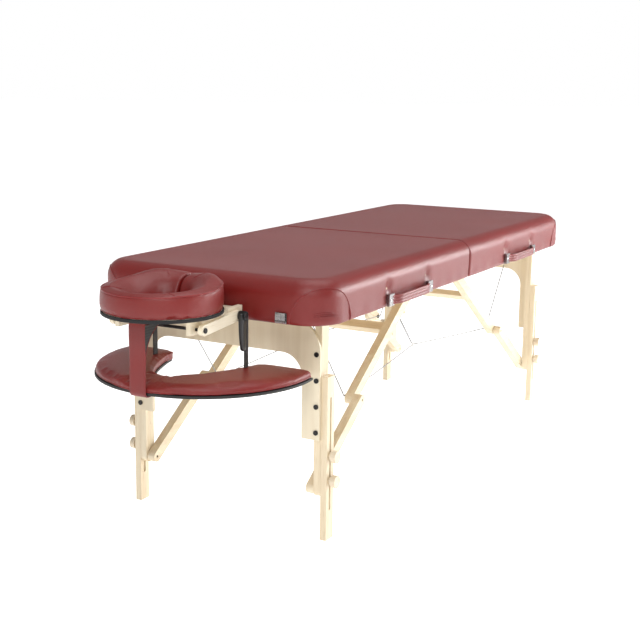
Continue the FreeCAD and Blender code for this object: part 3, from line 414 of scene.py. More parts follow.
# %% Metals and plastics
def metal(name, colour, worn, metallic, low, high, scale, stretch=(1, 1, 1), height=.00003, coat=0.0):
    """Noise moves the colour between colour and worn, and the roughness between low and high."""
    material, tree, shader = finish_of(name, Metallic=metallic, Coat_Weight=coat)
    marks = noise(tree, coordinates(tree, stretch), Scale=scale, Detail=5.0, Roughness=.6)
    tree.links.new(ramp(tree, marks, (.45, colour), (.75, worn)), shader.inputs["Base Color"])
    glossed(tree, shader, marks, low, high, .3, .7)
    bump(tree, shader, marks, height, .5)
    return material


BOLT = metal("black_bolt", (.018, .018, .019), (.06, .055, .05), .7, .28, .45, 160)
ZINC = metal("zinc_steel", (.62, .61, .58), (.50, .48, .44), 1.0, .26, .44, 60, (1, 14, 1))
CHROME = metal("bright_chrome", (.82, .82, .84), (.68, .68, .70), 1.0, .08, .2, 90)
CAP = metal("cap_steel", (.30, .29, .29), (.16, .15, .15), 1.0, .18, .34, 200, height=.00006)
CABLE = metal("cable_steel", (.24, .24, .235), (.14, .14, .135), .6, .3, .5, 900, coat=.4)
LEVER = metal("black_lever", (.012, .012, .013), (.022, .022, .024), 0.0, .24, .36, 700, height=.00005)
# Black band under the face cushion: partly a real hook-and-loop strip, partly painted shade standing for
# the shadowed underside of the overhanging cushion.
HOOK_BAND_AND_SHADE = metal("hook_band", (.010, .010, .011), (.02, .02, .02), 0.0, .75, .9, 1400, height=.0003)
RUBBER = metal("black_board", (.014, .013, .013), (.03, .028, .028), 0.0, .55, .7, 300, height=.0001)


def webbing(name, colour, light):
    """Woven band: two crossed waves on the piece's own length and width give the over and under."""
    material, tree, shader = finish_of(name, Roughness=.72, Specular_IOR_Level=.3,
                                       Sheen_Weight=.3, Sheen_Roughness=.5)
    link = tree.links.new
    where = tree.nodes.new("ShaderNodeUVMap")
    where.uv_map = "surface"
    heights = []
    for turn, scale in ((0, 420.0), (math.pi / 2, 300.0)):
        place = add(tree, "ShaderNodeMapping", Rotation=(0, 0, turn))
        link(where.outputs["UV"], place.inputs["Vector"])
        wave = add(tree, "ShaderNodeTexWave", Scale=scale / 6.283, Distortion=.3)
        link(place.outputs["Vector"], wave.inputs["Vector"])
        heights.append(wave.outputs["Fac"])
    both = add(tree, "ShaderNodeMath", operation="MULTIPLY")
    link(heights[0], both.inputs[0])
    link(heights[1], both.inputs[1])
    link(ramp(tree, both.outputs[0], (0, colour), (1, light)), shader.inputs["Base Color"])
    bump(tree, shader, both.outputs[0], .0003, .8)
    return material


WEBBING = webbing("black_webbing", (.008, .008, .009), (.035, .034, .036))
print("metals, plastics and webbing ready")

# %% [markdown]
# ## Finishes for the hard pieces
# Every frame piece keeps its own mesh and is only given its finish.  Struts of the two halves
# lean opposite ways, so their grain is turned to suit.

# %% Which finish goes on which piece
FINISHES = [("_deck", DECK), ("_rails", WOOD_X), ("_end_rail", WOOD_Y), ("_pivot_blocks", WOOD_X),
            ("_crossbar", WOOD_Y), ("_upper_legs", WOOD_Z), ("_lower_leg", WOOD_Z),
            ("_arch_panel", PANEL), ("_knob", WOOD_KNOB), ("_bolts", BOLT), ("_hinge_leaves", ZINC),
            ("_handle_caps", CAP), ("latch_", CAP), ("cradle_rod", BOLT),
            ("cradle_platform", PLATFORM), ("cradle_", WOOD_CRADLE), ("cam_lever", LEVER),
            ("_cables", CABLE), ("_handle", VINYL), ("shelf_front_strap", VINYL),
            ("shelf_rear", WEBBING), ("_pad", COVER), ("arm_shelf", COVER)]


def finish_for(name):
    """The first finish whose key is in the piece's name; struts go by their end."""
    if name.endswith("_struts"):
        return WOOD_HEAD if name.startswith("head") == ("upper" in name or "lower" in name) else WOOD_FOOT
    return next(material for key, material in FINISHES if key in name)


for name, piece in nodes.items():
    piece.data.materials.clear()
    piece.data.materials.append(finish_for(name))
print("finishes on", len(nodes), "pieces")

# %% [markdown]
# ## The two padded halves
# The cover is pulled over foam with a large round along the outer edges, a small one at the
# split, and a roll under the lower edge.  A pad is drawn as rings: each ray runs from a core
# rectangle to the outline, so rings of points follow the round of the corners.

# %% The outline of one half
ROUND, CORNER, NOSE, LIP, ROLL, INSET = .045, .095, .010, .0087, .014, .0012
NEAR, FAR = .0015, HALF_LONG


def outline():
    """Points, directions out and lengths along the edge of a half, in (out, across) metres."""
    inner = HALF_WIDE - CORNER

    def arc(centre, radius, start, steps):
        turn = np.radians(np.linspace(start, start + 90, steps, endpoint=False))
        way = np.stack([np.cos(turn), np.sin(turn)], 1)
        return np.array(centre) + radius * way, way

    def line(start, end, way, steps):
        t = np.linspace(0, 1, steps, endpoint=False)[:, None]
        return between(start, end, t), np.tile(way, (steps, 1))

    runs = [line((NEAR + NOSE, -HALF_WIDE), (FAR - CORNER, -HALF_WIDE), (0., -1.), 170),
            arc((FAR - CORNER, -inner), CORNER, -90, 46), line((FAR, -inner), (FAR, inner), (1., 0.), 60),
            arc((FAR - CORNER, inner), CORNER, 0, 46),
            line((FAR - CORNER, HALF_WIDE), (NEAR + NOSE, HALF_WIDE), (0., 1.), 110),
            arc((NEAR + NOSE, HALF_WIDE - NOSE), NOSE, 90, 8),
            line((NEAR, HALF_WIDE - NOSE), (NEAR, NOSE - HALF_WIDE), (-1., 0.), 70),
            arc((NEAR + NOSE, NOSE - HALF_WIDE), NOSE, 180, 8)]
    edge = np.concatenate([points for points, _ in runs])
    way = np.concatenate([ways for _, ways in runs])
    return edge, way, distances(edge)


def top_height(place):
    """Top of the cover over a point: flat, less a quarter round at the outer edges and the split."""
    out, across = place[..., 0], np.abs(place[..., 1])
    reach = np.hypot(np.maximum(out - (FAR - CORNER), 0), np.maximum(across - (HALF_WIDE - CORNER), 0))
    edge = np.clip(ROUND - (CORNER - reach), 0, ROUND)
    nose = np.clip(NOSE - (out - NEAR), 0, NOSE)
    fall = (ROUND - np.sqrt(ROUND ** 2 - edge ** 2)) ** 3 + (NOSE - np.sqrt(NOSE ** 2 - nose ** 2)) ** 3
    calm = np.clip((CORNER - reach) / CORNER, 0, 1) ** 2 * np.clip((out - NEAR) / .08, 0, 1)
    swell = np.sin(9 * out + 1.3) * np.sin(12 * across + .5) + .6 * np.sin(21 * out - 7 * across)
    return TOP - np.cbrt(fall) - .0006 * calm * (1 + swell)


edge, way, run = outline()
print("outline of %d points, %.2f m round" % (len(edge), run[-1]))

# %% [markdown]
# The handle's end caps pull the cover in, which leaves a soft hollow above each cap.  It is a
# bell-shaped dent along the outward direction.

# %% A padded half
DENT_HIGH, DENT_DEEP, RIPPLE = .634, .0080, .0010


def pad(end, side):
    """Rings of one half, from the top's middle, over the round, down the wall and back inside."""
    core = np.stack([np.clip(edge[:, 0], NEAR + .02, FAR - CORNER),
                     np.clip(edge[:, 1], CORNER - HALF_WIDE, HALF_WIDE - CORNER)], 1)
    middle = core.mean(0)
    rings, heights = [], []

    def ring(plan, height):
        rings.append(plan)
        heights.append(np.broadcast_to(height, len(edge)))

    for share in (0, .3, .6, .85):
        inside = middle + (core - middle) * share
        ring(inside, top_height(inside))
    turn = np.radians(np.linspace(90, 0, 15))
    for share in list(np.linspace(1, .56, 5)) + list(ROUND / CORNER * (1 - np.cos(turn))):
        place = edge + (core - edge) * share
        ring(place - way * INSET * (1 - share), top_height(place))
    start = heights[-1]
    for share in np.linspace(0, 1, 20)[1:]:
        ring(edge - way * INSET, start + (PAD_LOW + ROLL - start) * share)
    for angle in np.radians(np.linspace(0, 90, 7)[1:]):
        inset = INSET + (LIP - INSET) * (1 - np.cos(angle))
        ring(edge - way * inset, PAD_LOW + ROLL * (1 - np.sin(angle)))
    ceiling = box(end + "_deck")[1][2] + .0003
    for height in (.3, .7, 1):
        ring(edge - way * LIP, PAD_LOW + (ceiling - PAD_LOW) * height)
    for share in (1, .5, 0):
        ring(middle + (core - middle) * share, ceiling)
    plan, height = np.array(rings), np.array(heights)
    points = np.stack([SPLIT + side * plan[..., 0], MIDDLE + plan[..., 1], height], -1)
    caps = box(end + "_handle_caps")
    for cap in (caps[0][0] + .015, caps[1][0] - .015):
        bell = np.exp(-((points[..., 0] - cap) / .017) ** 2 - ((points[..., 2] - DENT_HIGH) / .022) ** 2)
        points[..., 1] += DENT_DEEP * bell * (plan[..., 1] < -HALF_WIDE + .07)
    wave = (np.abs(plan[..., 1]) > HALF_WIDE - .03) * np.exp(-((points[..., 2] - .60) / .02) ** 2)
    ripple = RIPPLE * (1 + np.sin(58 * plan[..., 0]) * np.sin(23 * plan[..., 0] + 1))
    points[..., 1] -= np.sign(plan[..., 1]) * wave * ripple
    across = np.cumsum(np.linalg.norm(np.diff(points, axis=0, prepend=points[:1]), axis=2), 0)
    uv = np.stack([np.broadcast_to(run, across.shape), across], -1)
    piece = make(end + "_cover", points, grid_faces(*plan.shape[:2]), COVER,
                 end + "_half", uv=uv, merge=.00002)
    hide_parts(end + "_pad")
    return piece


for end, side in ENDS:
    cover = pad(end, side)
    print(cover.name, len(cover.data.polygons), "faces")

# %% [markdown]
# Each outer corner has a gusset: a D-shaped panel sewn into the cover.  Its seam is half an
# ellipse drawn on the unrolled wall, where one direction is length round the corner and the
# other is height up the wall and over the round.  Three small creases cross its lower part.

# %% Gusset seams on the corners
def on_wall(side, hand, along_edge, climb, proud=0.0):
    """A point on the cover: along_edge from the corner's middle towards the end, climb from the lip."""
    half = CORNER * math.pi / 4
    angle = np.clip(along_edge, -half, half) / CORNER - math.pi / 4
    extra_end, extra_side = np.maximum(along_edge - half, 0), np.minimum(along_edge + half, 0)
    way = np.stack([np.cos(angle), np.sin(angle)], -1)
    centre = np.stack([FAR - CORNER + extra_side, CORNER - HALF_WIDE + extra_end], -1)
    wall = TOP - ROUND - PAD_LOW
    lean = np.clip((climb - wall) / ROUND, 0, math.pi / 2)
    low = np.arcsin(np.clip(1 - climb / ROLL, 0, 1))
    inset = INSET + (LIP - INSET) * (1 - np.cos(low)) + ROUND * (1 - np.cos(lean)) - INSET * np.sin(lean)
    height = np.where(climb < wall, PAD_LOW + np.minimum(climb, wall), TOP - ROUND + ROUND * np.sin(lean))
    flat = centre + way * (CORNER - inset + proud * np.cos(lean))[..., None]
    height = height + proud * np.sin(lean)
    return np.stack([SPLIT + side * flat[..., 0], MIDDLE - hand * flat[..., 1], height], -1)


for end, side in ENDS:
    seams = []
    for hand in (1, -1):
        turn = np.linspace(.03, math.pi - .03, 90)
        track = on_wall(side, hand, -.015 + .098 * np.cos(turn), .095 * np.sin(turn), .0001)
        seams.append(seam(track, .0014, end + "_half"))
        for line in range(3):
            t = np.linspace(-1, 1, 30)
            place = -.019 + .006 * line + (.037 - .006 * line) * t
            crease = on_wall(side, hand, place, .024 + .0048 * line - .002 * t ** 2)
            seams.append(swept("crease", crease, circle(1, 6) * (.0010, .0009), COVER, end + "_half"))
    whole = joined(end + "_corner_seams", seams, end + "_half")
    print(whole.name, len(whole.data.polygons), "faces")

# %% [markdown]
# ## Padded pieces that are blown up
# The face cushion and the arm shelf are stuffed covers.  Each starts as a rough closed form,
# is rebuilt from small even faces, and is then filled with pressure as cloth, with gravity
# off.  How far a point may move is capped, so the piece keeps its size.

# %% Blow up a cover
def points_of(piece):
    """The piece's points as an array."""
    flat = np.zeros(3 * len(piece.data.vertices))
    piece.data.vertices.foreach_get("co", flat)
    return flat.reshape(-1, 3)


def blown(piece, voxel, pressure, limit, frames=20):
    """Voxel remesh, a short cloth run under pressure, a cap on the movement, one subdivision."""

    def settle():
        mesh = bpy.data.meshes.new_from_object(piece.evaluated_get(bpy.context.evaluated_depsgraph_get()))
        piece.modifiers.clear()
        piece.data = mesh

    remesh = piece.modifiers.new("even", "REMESH")
    remesh.mode, remesh.voxel_size = "VOXEL", voxel
    settle()
    smooth = piece.modifiers.new("smooth", "SMOOTH")
    smooth.factor, smooth.iterations = .5, 4
    settle()
    rest = points_of(piece)
    cloth = piece.modifiers.new("cloth", "CLOTH")
    cloth.settings.quality = 6
    cloth.settings.mass = .3
    cloth.settings.tension_stiffness = cloth.settings.compression_stiffness = 25
    cloth.settings.use_pressure = True
    cloth.settings.uniform_pressure_force = pressure
    cloth.settings.effector_weights.gravity = 0
    cloth.point_cache.frame_start, cloth.point_cache.frame_end = 1, frames
    for moment in range(1, frames + 1):
        bpy.context.scene.frame_set(moment)
    settle()
    moved = points_of(piece) - rest
    far = np.linalg.norm(moved, axis=1)[:, None]
    moved *= np.minimum(1, limit / np.maximum(far, 1e-9))
    piece.data.vertices.foreach_set("co", (rest + moved).ravel())
    bpy.context.scene.frame_set(1)
    print(piece.name, "moved up to %.1f mm" % (far.max() * 1000))
    finer = piece.modifiers.new("finer", "SUBSURF")
    finer.levels = finer.render_levels = 1
    settle()
    piece.data.polygons.foreach_set("use_smooth", [True] * len(piece.data.polygons))


def cover_of(piece, body, node):
    """Put a blown cover on the body that it rides on, and hide the frame piece that it stands for."""
    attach(piece, body)
    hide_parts(node)


def laid_on(piece, track, proud=0.0):
    """The track's points moved to the nearest points of the piece's surface."""
    tree = BVHTree.FromPolygons(points_of(piece).tolist(), [list(p.vertices) for p in piece.data.polygons])
    found = [tree.find_nearest(Vector(p)) for p in np.asarray(track).tolist()]
    return np.array([list(place + normal * proud) for place, normal, _, _ in found])


# %% [markdown]
# ### The face cushion
# It is a horseshoe: a section is carried round a centre, from one side of a narrow slit to the
# other.  The section has an upright wall, a piped rim, a crown that is higher near the table,
# and a wall that slopes down into the face opening.

# %% The horseshoe form
CUSHION = np.array([box("cradle_cushion")[0][0] + .150, MIDDLE])
SEAT = box("cradle_platform")[1][2]
RIM, WALL_LOW, WALL_HIGH = .1470, SEAT - .0025, SEAT + .0580
TABLE_RISE, OFFSET, SLIT = .009, .014, .055


def opening(turn, radius):
    """Distance from the cushion's centre to a circle whose own centre is set nearer the table."""
    return OFFSET * np.cos(turn) + np.sqrt(radius ** 2 - (OFFSET * np.sin(turn)) ** 2)


def around(radius, turn, height):
    """Points at a radius and turn round the cushion's centre, at a height."""
    x, y = CUSHION[0] + radius * np.cos(turn), CUSHION[1] + radius * np.sin(turn)
    return np.stack([x, y, np.broadcast_to(height, np.shape(x))], -1)


def section(turn):
    """Closed section at one turn round the cushion: radius and height, all the way round it."""
    table = (1 + math.cos(turn)) / 2
    lobe = math.exp(-((abs(math.remainder(turn, 2 * math.pi)) - .75) / .55) ** 2)
    wall_t = np.linspace(0, 1, 11)
    high = WALL_HIGH - .004 + TABLE_RISE * table
    wall = np.stack([RIM + .0025 * np.sin(math.pi * wall_t), WALL_LOW + (high - WALL_LOW) * wall_t], 1)
    inner_top = opening(turn, .088 - .022 * table)
    t = np.linspace(0, 1, 14)[1:-1]
    arch = (.005 + .015 * lobe) * np.sin(math.pi * t ** .8) - (.026 - .020 * table) * t ** 1.3
    crown = np.stack([RIM + (inner_top - RIM) * t, high + arch], 1)
    low = opening(turn, .047)
    t = np.linspace(0, 1, 7)
    top = crown[-1, 1] - .004
    inner = np.stack([inner_top + (low - inner_top) * np.sin(t * math.pi / 2),
                      top + (WALL_LOW - top) * t ** 1.2], 1)
    base = np.stack([np.linspace(low, RIM, 8)[1:-1], np.full(6, WALL_LOW)], 1)
    return np.concatenate([wall, crown, inner, base])


turns = np.linspace(SLIT, 2 * math.pi - SLIT, 110)
rings = np.array([section(turn) for turn in turns])
points = around(rings[..., 0], turns[:, None], rings[..., 1])
cushion = tube("face_cushion", points, COVER, None)
blown(cushion, .0036, 4.0, .005)
cover_of(cushion, "cradle_top", "cradle_cushion")
print("cushion", len(cushion.data.polygons), "faces")

# %% [markdown]
# Piping runs round the rim and down both sides of the slit, and short seams cross the crown
# where the panels meet.  They are laid on the blown cover after it has settled.

# %% Piping and seams of the cushion
turn = np.linspace(.075, 2 * math.pi - .075, 200)
rim = around(RIM + .001, turn, WALL_HIGH - .003 + TABLE_RISE * (1 + np.cos(turn)) / 2)
lines = [seam(laid_on(cushion, rim, .0006), .0021, "cradle_top")]
low_rim = np.column_stack([rim[:, :2], np.full(200, WALL_LOW + .002)])
lines.append(seam(laid_on(cushion, low_rim), .0014, "cradle_top"))
for angle in (.42, -.42, 2.3, -2.3):
    reach = np.linspace(.1455, .086, 24)
    bend = angle + .10 * np.sign(angle) * np.sin(np.linspace(0, math.pi, 24))
    track = around(reach, bend, WALL_HIGH + .012)
    lines.append(seam(laid_on(cushion, track, .0001), .0010, "cradle_top"))
whole = joined("cushion_piping", lines, "cradle_top")

# A black band round the cushion's foot: partly the hook-and-loop strip, partly painted shade for the
# shadow under the cushion's overhanging wall.
band_turn = np.linspace(.12, 2 * math.pi - .12, 90)
profile = np.array([(-.0032, -.0065), (-.0005, -.0065), (.0012, -.005),
                    (.0014, -.001), (.0010, .002), (-.0032, .002)])
ring = around(RIM + profile[None, :, 0], band_turn[:, None], WALL_LOW + profile[None, :, 1])
band = tube("hook_band", ring, HOOK_BAND_AND_SHADE, "cradle_top", smooth=False)
print("piping", len(whole.data.polygons), "faces, band", len(band.data.polygons))

# %% [markdown]
# ### The arm shelf
# Its plan is a yoke: a round front, two horns towards the table, and a bay between them that
# comes to a soft point.  The cover is padded on a thin black board.

# %% The yoke's plan and its padding
SHELF = box("arm_shelf")
FRONT = SPLIT - SHELF[0][0]
SWING, NECK, HORN, HORN_WIDE = .290, .052, .055, .17
MOUTH, BAY_WIDE, BAY_SHARE, BAY_END = .019, .130, .204, .105


def yoke():
    """Plan of the shelf, anticlockwise in (out, across): front arc, horn ends, then the pointed bay."""
    centre = FRONT - SWING
    limit = math.acos(-NECK / SWING)
    turn = np.linspace(-limit, limit, 150)
    front = np.stack([centre + SWING * np.cos(turn), SWING * np.sin(turn)], 1)
    t = np.linspace(0, 1, 30)[1:-1, None]
    horn = between((centre - NECK, front[-1, 1] - .006), (centre - HORN, HORN_WIDE), t)
    t = np.radians(np.linspace(0, 90, 16))
    shoulder = np.stack([centre - HORN + .036 * (1 - np.cos(t)), HORN_WIDE - .040 * np.sin(t)], 1)
    far = FRONT - BAY_END
    out = centre - MOUTH + (far - centre + MOUTH) * np.linspace(0, 1, 60)[1:]
    bay = np.stack([out, BAY_WIDE * np.sqrt(np.maximum(far - out, 0) / BAY_SHARE)], 1)
    left = np.concatenate([horn, shoulder, bay])
    right = left[::-1][1:] * (1, -1)
    loop = np.concatenate([front, left, right])
    closed = np.vstack([loop, loop[:1]])
    distance = distances(closed)
    even = np.arange(0, distance[-1], .0035)
    return np.stack([np.interp(even, distance, closed[:, k]) for k in (0, 1)], 1)


def inward(loop, amount):
    """The loop moved in by an amount, square to its own direction."""
    ahead = np.roll(loop, -2, 0) - np.roll(loop, 2, 0)
    ahead /= np.linalg.norm(ahead, axis=1)[:, None] + 1e-12
    return loop + np.stack([-ahead[:, 1], ahead[:, 0]], 1) * amount


plan = yoke()
area = .5 * np.sum(plan[:, 0] * np.roll(plan[:, 1], -1) - np.roll(plan[:, 0], -1) * plan[:, 1])
BOARD_TOP = SHELF[0][2] + .005
LEVELS = [(.005, BOARD_TOP), (.0015, BOARD_TOP + .003), (.0005, BOARD_TOP + .010),
          (.003, BOARD_TOP + .016), (.009, BOARD_TOP + .0205), (.020, BOARD_TOP + .0225)]


def flat_at(loop, height):
    """A loop of (out, across) points on the head side, laid at a height."""
    return np.stack([SPLIT - loop[:, 0], MIDDLE + loop[:, 1], np.full(len(loop), height)], 1)


def stacked(name, levels, material, body, smooth=True):
    """Loops of the plan, each moved in and raised, closed by a face below and one above."""
    loops = [inward(plan, amount * np.sign(area)) for amount, _ in levels]
    points = np.array([flat_at(loop, height) for loop, (_, height) in zip(loops, levels)])
    return tube(name, points, material, body, smooth)


shelf = stacked("arm_shelf_cover", LEVELS, COVER, None)
blown(shelf, .005, 4.0, .005)
cover_of(shelf, "shelf_pad", "arm_shelf")
board_levels = [(.0045, SHELF[0][2] + .0002), (.003, SHELF[0][2] + .001), (.003, BOARD_TOP + .002)]
stacked("arm_shelf_board", board_levels, RUBBER, "shelf_pad", smooth=False)
lines = [seam(laid_on(shelf, flat_at(plan, BOARD_TOP + .0025)), .0017, "shelf_pad", closed=True)]
for hand in (1, -1):
    point = (FRONT - .044, .0295)
    for target in ((FRONT - .103, .012), (FRONT - .008, .086)):
        t = np.linspace(0, 1, 26)[:, None]
        track = flat_at(between(point, target, t) * (1, hand), SHELF[1][2] + .002)
        lines.append(seam(laid_on(shelf, track, .0001), .0010, "shelf_pad"))
whole = joined("arm_shelf_seams", lines, "shelf_pad")
print("shelf", len(shelf.data.polygons), "faces, plan area %.3f m2" % abs(area))

# %% [markdown]
# ## Straps
# The wide front strap is a band of vinyl that comes out from under the platform, drops to the
# shelf and turns under its edge.  Two black webbing straps hold the shelf at the back.
# The straps let out or take in as the shelf is set lower or higher.

# %% Bands from a centre line
def ribbon(name, track, wide, thick, material, body, across=(0, 1, 0)):
    """A flat band: a thin rounded profile along the track; its map gives metres along and across."""
    u = np.linspace(-1, 1, 9)
    face = np.stack([u * (wide / 2 - thick / 2), np.full(9, thick / 2)], 1)
    profile = np.concatenate([face, [(wide / 2, 0)], face[::-1] * (1, -1), [(-wide / 2, 0)]])
    up = np.cross(np.gradient(np.asarray(track, float), axis=0), across)
    points = along(track, profile, up)
    length = distances(track)
    uv = np.stack(np.broadcast_arrays(length[:, None], profile[None, :, 0]), -1)
    return tube(name, points, material, body, uv=uv), float(length[-1])


def smoothed(corners, steps=14):
    """A smooth line through the corners: each stretch is a Catmull-Rom curve."""
    p = np.asarray(corners, float)
    p = np.vstack([2 * p[0] - p[1], p, 2 * p[-1] - p[-2]])
    t = np.linspace(0, 1, steps, endpoint=False)[:, None]
    parts = []
    for a, b, c, d in zip(p, p[1:], p[2:], p[3:]):
        bend = (2 * a - 5 * b + 4 * c - d) * t ** 2 + (3 * b - a - 3 * c + d) * t ** 3
        parts.append(.5 * (2 * b + (c - a) * t + bend))
    return np.vstack(parts + [p[-2:-1]])


STRAP = box("shelf_front_strap")
REACH, HIGH, LOW = .066, STRAP[1][2] - .014, SHELF[1][2] + .045
sx = STRAP[0][0] + .002
top, foot = STRAP[1][2], SHELF[0][2]
corners = [(sx + run, MIDDLE, height) for run, height in (
    (.050, top - .002), (.020, top - .002), (.003, top - .008), (0, top - .04), (.0015, top - .09),
    (0, foot + .02), (.002, foot + .001), (.012, foot - .0035), (.040, foot - .0035))]
strap, length = ribbon("front_strap", smoothed(corners), .048, .003, VINYL, None)
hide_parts("shelf_front_strap")
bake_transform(strap)
print("front strap %.3f m long" % length)

# %% [markdown]
# Behind the strap a hollow curve of vinyl runs from the platform's underside down to the strap,
# like the stay of a shelf.  Black webbing closes it on both sides.  The curve is a power of the
# height, so that it leaves the platform level and joins the strap upright.

# %% The stay behind the front strap
t = np.linspace(0, 1, 24)
hollow = np.stack([sx + .004 + (REACH - .004) * (1 - t) ** 2.4, np.full(24, MIDDLE),
                   HIGH - (HIGH - LOW) * t ** 1.15], 1)
stay, length = ribbon("front_strap_stay", hollow, .046, .0026, VINYL, "shelf_hanger")
for tag, hand in HANDS:
    front = np.stack([np.full(24, sx + .0018), np.full(24, MIDDLE + hand * .0215), hollow[:, 2]], 1)
    rear = np.stack([hollow[:, 0] - .0016, front[:, 1], hollow[:, 2]], 1)
    skin = np.array((0, .0007, 0))
    points = np.stack([front - skin, rear - skin, rear + skin, front + skin], 1)
    tube("strap_web_" + tag, points, WEBBING, "shelf_hanger", False, points[..., ::2])
print("stay %.3f m" % length)

# %% Webbing straps at the back
rear = box("shelf_rear_straps")
rx = (rear[0][0] + rear[1][0]) / 2
for tag, hand in HANDS:
    ay = MIDDLE + hand * ((rear[1][1] - rear[0][1]) / 2 - .0012)
    corners = [(rx, ay, rear[1][2]), (rx, ay + hand * .0002, rear[1][2] - .05),
               (rx, ay, rear[0][2] + .04), (rx, ay, rear[0][2] + .0006)]
    strap, length = ribbon("rear_strap_" + tag, smoothed(corners, 10), .020, .0018, WEBBING, None,
                           across=(1, 0, 0))
    if hand < 0:
        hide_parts("shelf_rear_straps")
    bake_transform(strap)
    print(strap.name, "%.3f m" % length)

# %% [markdown]
# ## Handles
# Each carrying handle is a doubled band of the cover's vinyl with three stitched ribs along it.
# Both ends are caught by a steel cap that is screwed to the side.  The band's profile has
# three round humps, and it is carried along a shallow bow between the caps.

# %% Ribbed handles and the screws of their caps
RIBS = np.linspace(-1, 1, 41)
hump = .0024 + .0016 * np.clip(np.abs(np.sin(1.5 * math.pi * (RIBS + 1))), 0, 1) ** .7
HALF_BAND = .0122
band = np.concatenate([np.stack([RIBS * HALF_BAND, hump], 1), [(.0128, .0012)],
                       np.stack([RIBS[::-1] * HALF_BAND, np.full(41, -.0004)], 1), [(-.0128, .0012)]])
for end, side in ENDS:
    strap_box, caps = box(end + "_handle"), box(end + "_handle_caps")
    ends = caps[0][0] + .020, caps[1][0] - .020
    centre_y, level = strap_box[0][1], (strap_box[0][2] + strap_box[1][2]) / 2
    t = np.linspace(0, 1, 70)
    rise = np.minimum(1, np.minimum(t, 1 - t) / .16)
    out_y = caps[1][1] - .004 + (centre_y + .0045 - caps[1][1] + .004) * (rise * rise * (3 - 2 * rise))
    track = np.stack([ends[0] + (ends[1] - ends[0]) * t, out_y, np.full(70, level)], 1)
    handle = swept(end + "_handle_band", track, band[:, ::-1], VINYL, end + "_half")
    length = float(distances(track)[-1])
    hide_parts(end + "_handle")
    screws = []
    for place in (caps[0][0] + .0085, caps[1][0] - .0085):
        turn = full_turn(24)
        wide, deep = np.array([(.0036, 0), (.0036, -.0008), (.0030, -.0015),
                               (.0018, -.0019), (.0006, -.0020)]).T
        face = np.broadcast_to((caps[0][1] + .0002 + deep)[:, None], (5, 24))
        dome = np.stack([place + wide[:, None] * np.cos(turn), face,
                         level + wide[:, None] * np.sin(turn)], -1)
        screws.append(tube("screw", dome, CHROME, end + "_half"))
    joined(end + "_cap_screws", screws, end + "_half")
    print(handle.name, "%.3f m" % length)

# %% [markdown]
# ## Cables
# Thin steel cables tie the two pairs of legs together, as a truss.  From each elbow one cable
# runs up to the frame and a long one runs to a ring under the middle, and the rings hang from
# the hinges.  Each is drawn tight, so its route is a straight line with a hair of sag.

# %% Cables, rings and their plates
THICK = .0030


def elbow(end):
    """Centre of the strut joint of one end, taken from its bolts."""
    low, high = box(end + "_elbow_bolts")
    return (low[0] + high[0]) / 2, (low[2] + high[2]) / 2


def taut(name, start, finish, sag, body):
    """A cable from start to finish with a small parabolic sag."""
    t = np.linspace(0, 1, 26)[:, None]
    route = between(start, finish, t) - np.array((0, 0, 1)) * sag * 4 * t * (1 - t)
    wire = swept(name, route, circle(THICK / 2, 8), CABLE, body, up=(0, 1, 0))
    return wire


ring_y, ring_z = .172, .351
stay_out, stay_high, knee_y, ring_gap = .764, .5945, .209, .006
for end, side in ENDS:
    ex, ez = elbow(end)
    for tag, hand in HANDS:
        knee = (ex, MIDDLE + hand * knee_y, ez + .004)
        high = (SPLIT + side * stay_out, MIDDLE + hand * knee_y, stay_high)
        stay = taut(end + "_stay_" + tag, high, knee, .0006, None)
        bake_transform(stay)
        ring = (SPLIT + side * ring_gap, MIDDLE + hand * ring_y, ring_z)
        long = taut(end + "_cable_" + tag, ring, knee, .0012, None)
        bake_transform(long)
        if hand < 0:
            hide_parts(end + "_cables")
for tag, hand in HANDS:
    for step, side in ((1, -1), (2, -1.9)):
        high = (SPLIT + side * .0115, MIDDLE + hand * .040, .5848)
        low = (SPLIT - .001 + side * .001, MIDDLE + hand * (ring_y - .004), ring_z + .0035)
        taut("riser_%s_%d" % (tag, step), high, low, .0002, "head_half")
    turn = full_turn(28)
    loop = np.stack([SPLIT + .0055 * np.cos(turn), np.full(28, MIDDLE + hand * ring_y),
                     ring_z + .0055 * np.sin(turn)], 1)
    swept("cable_ring_" + tag, loop, circle(.0013, 8), ZINC, "head_half",
          up=(0, 1, 0), closed=True)

# %% [markdown]
# ## Cam levers
# The cradle locks with two cams.  Each has a ribbed barrel across the bar and a lever that
# hangs down from it: broad at the barrel, tapering to a round tip, and a little bowed.  The
# lever is a stack of rounded sections whose size and place are functions of the height.

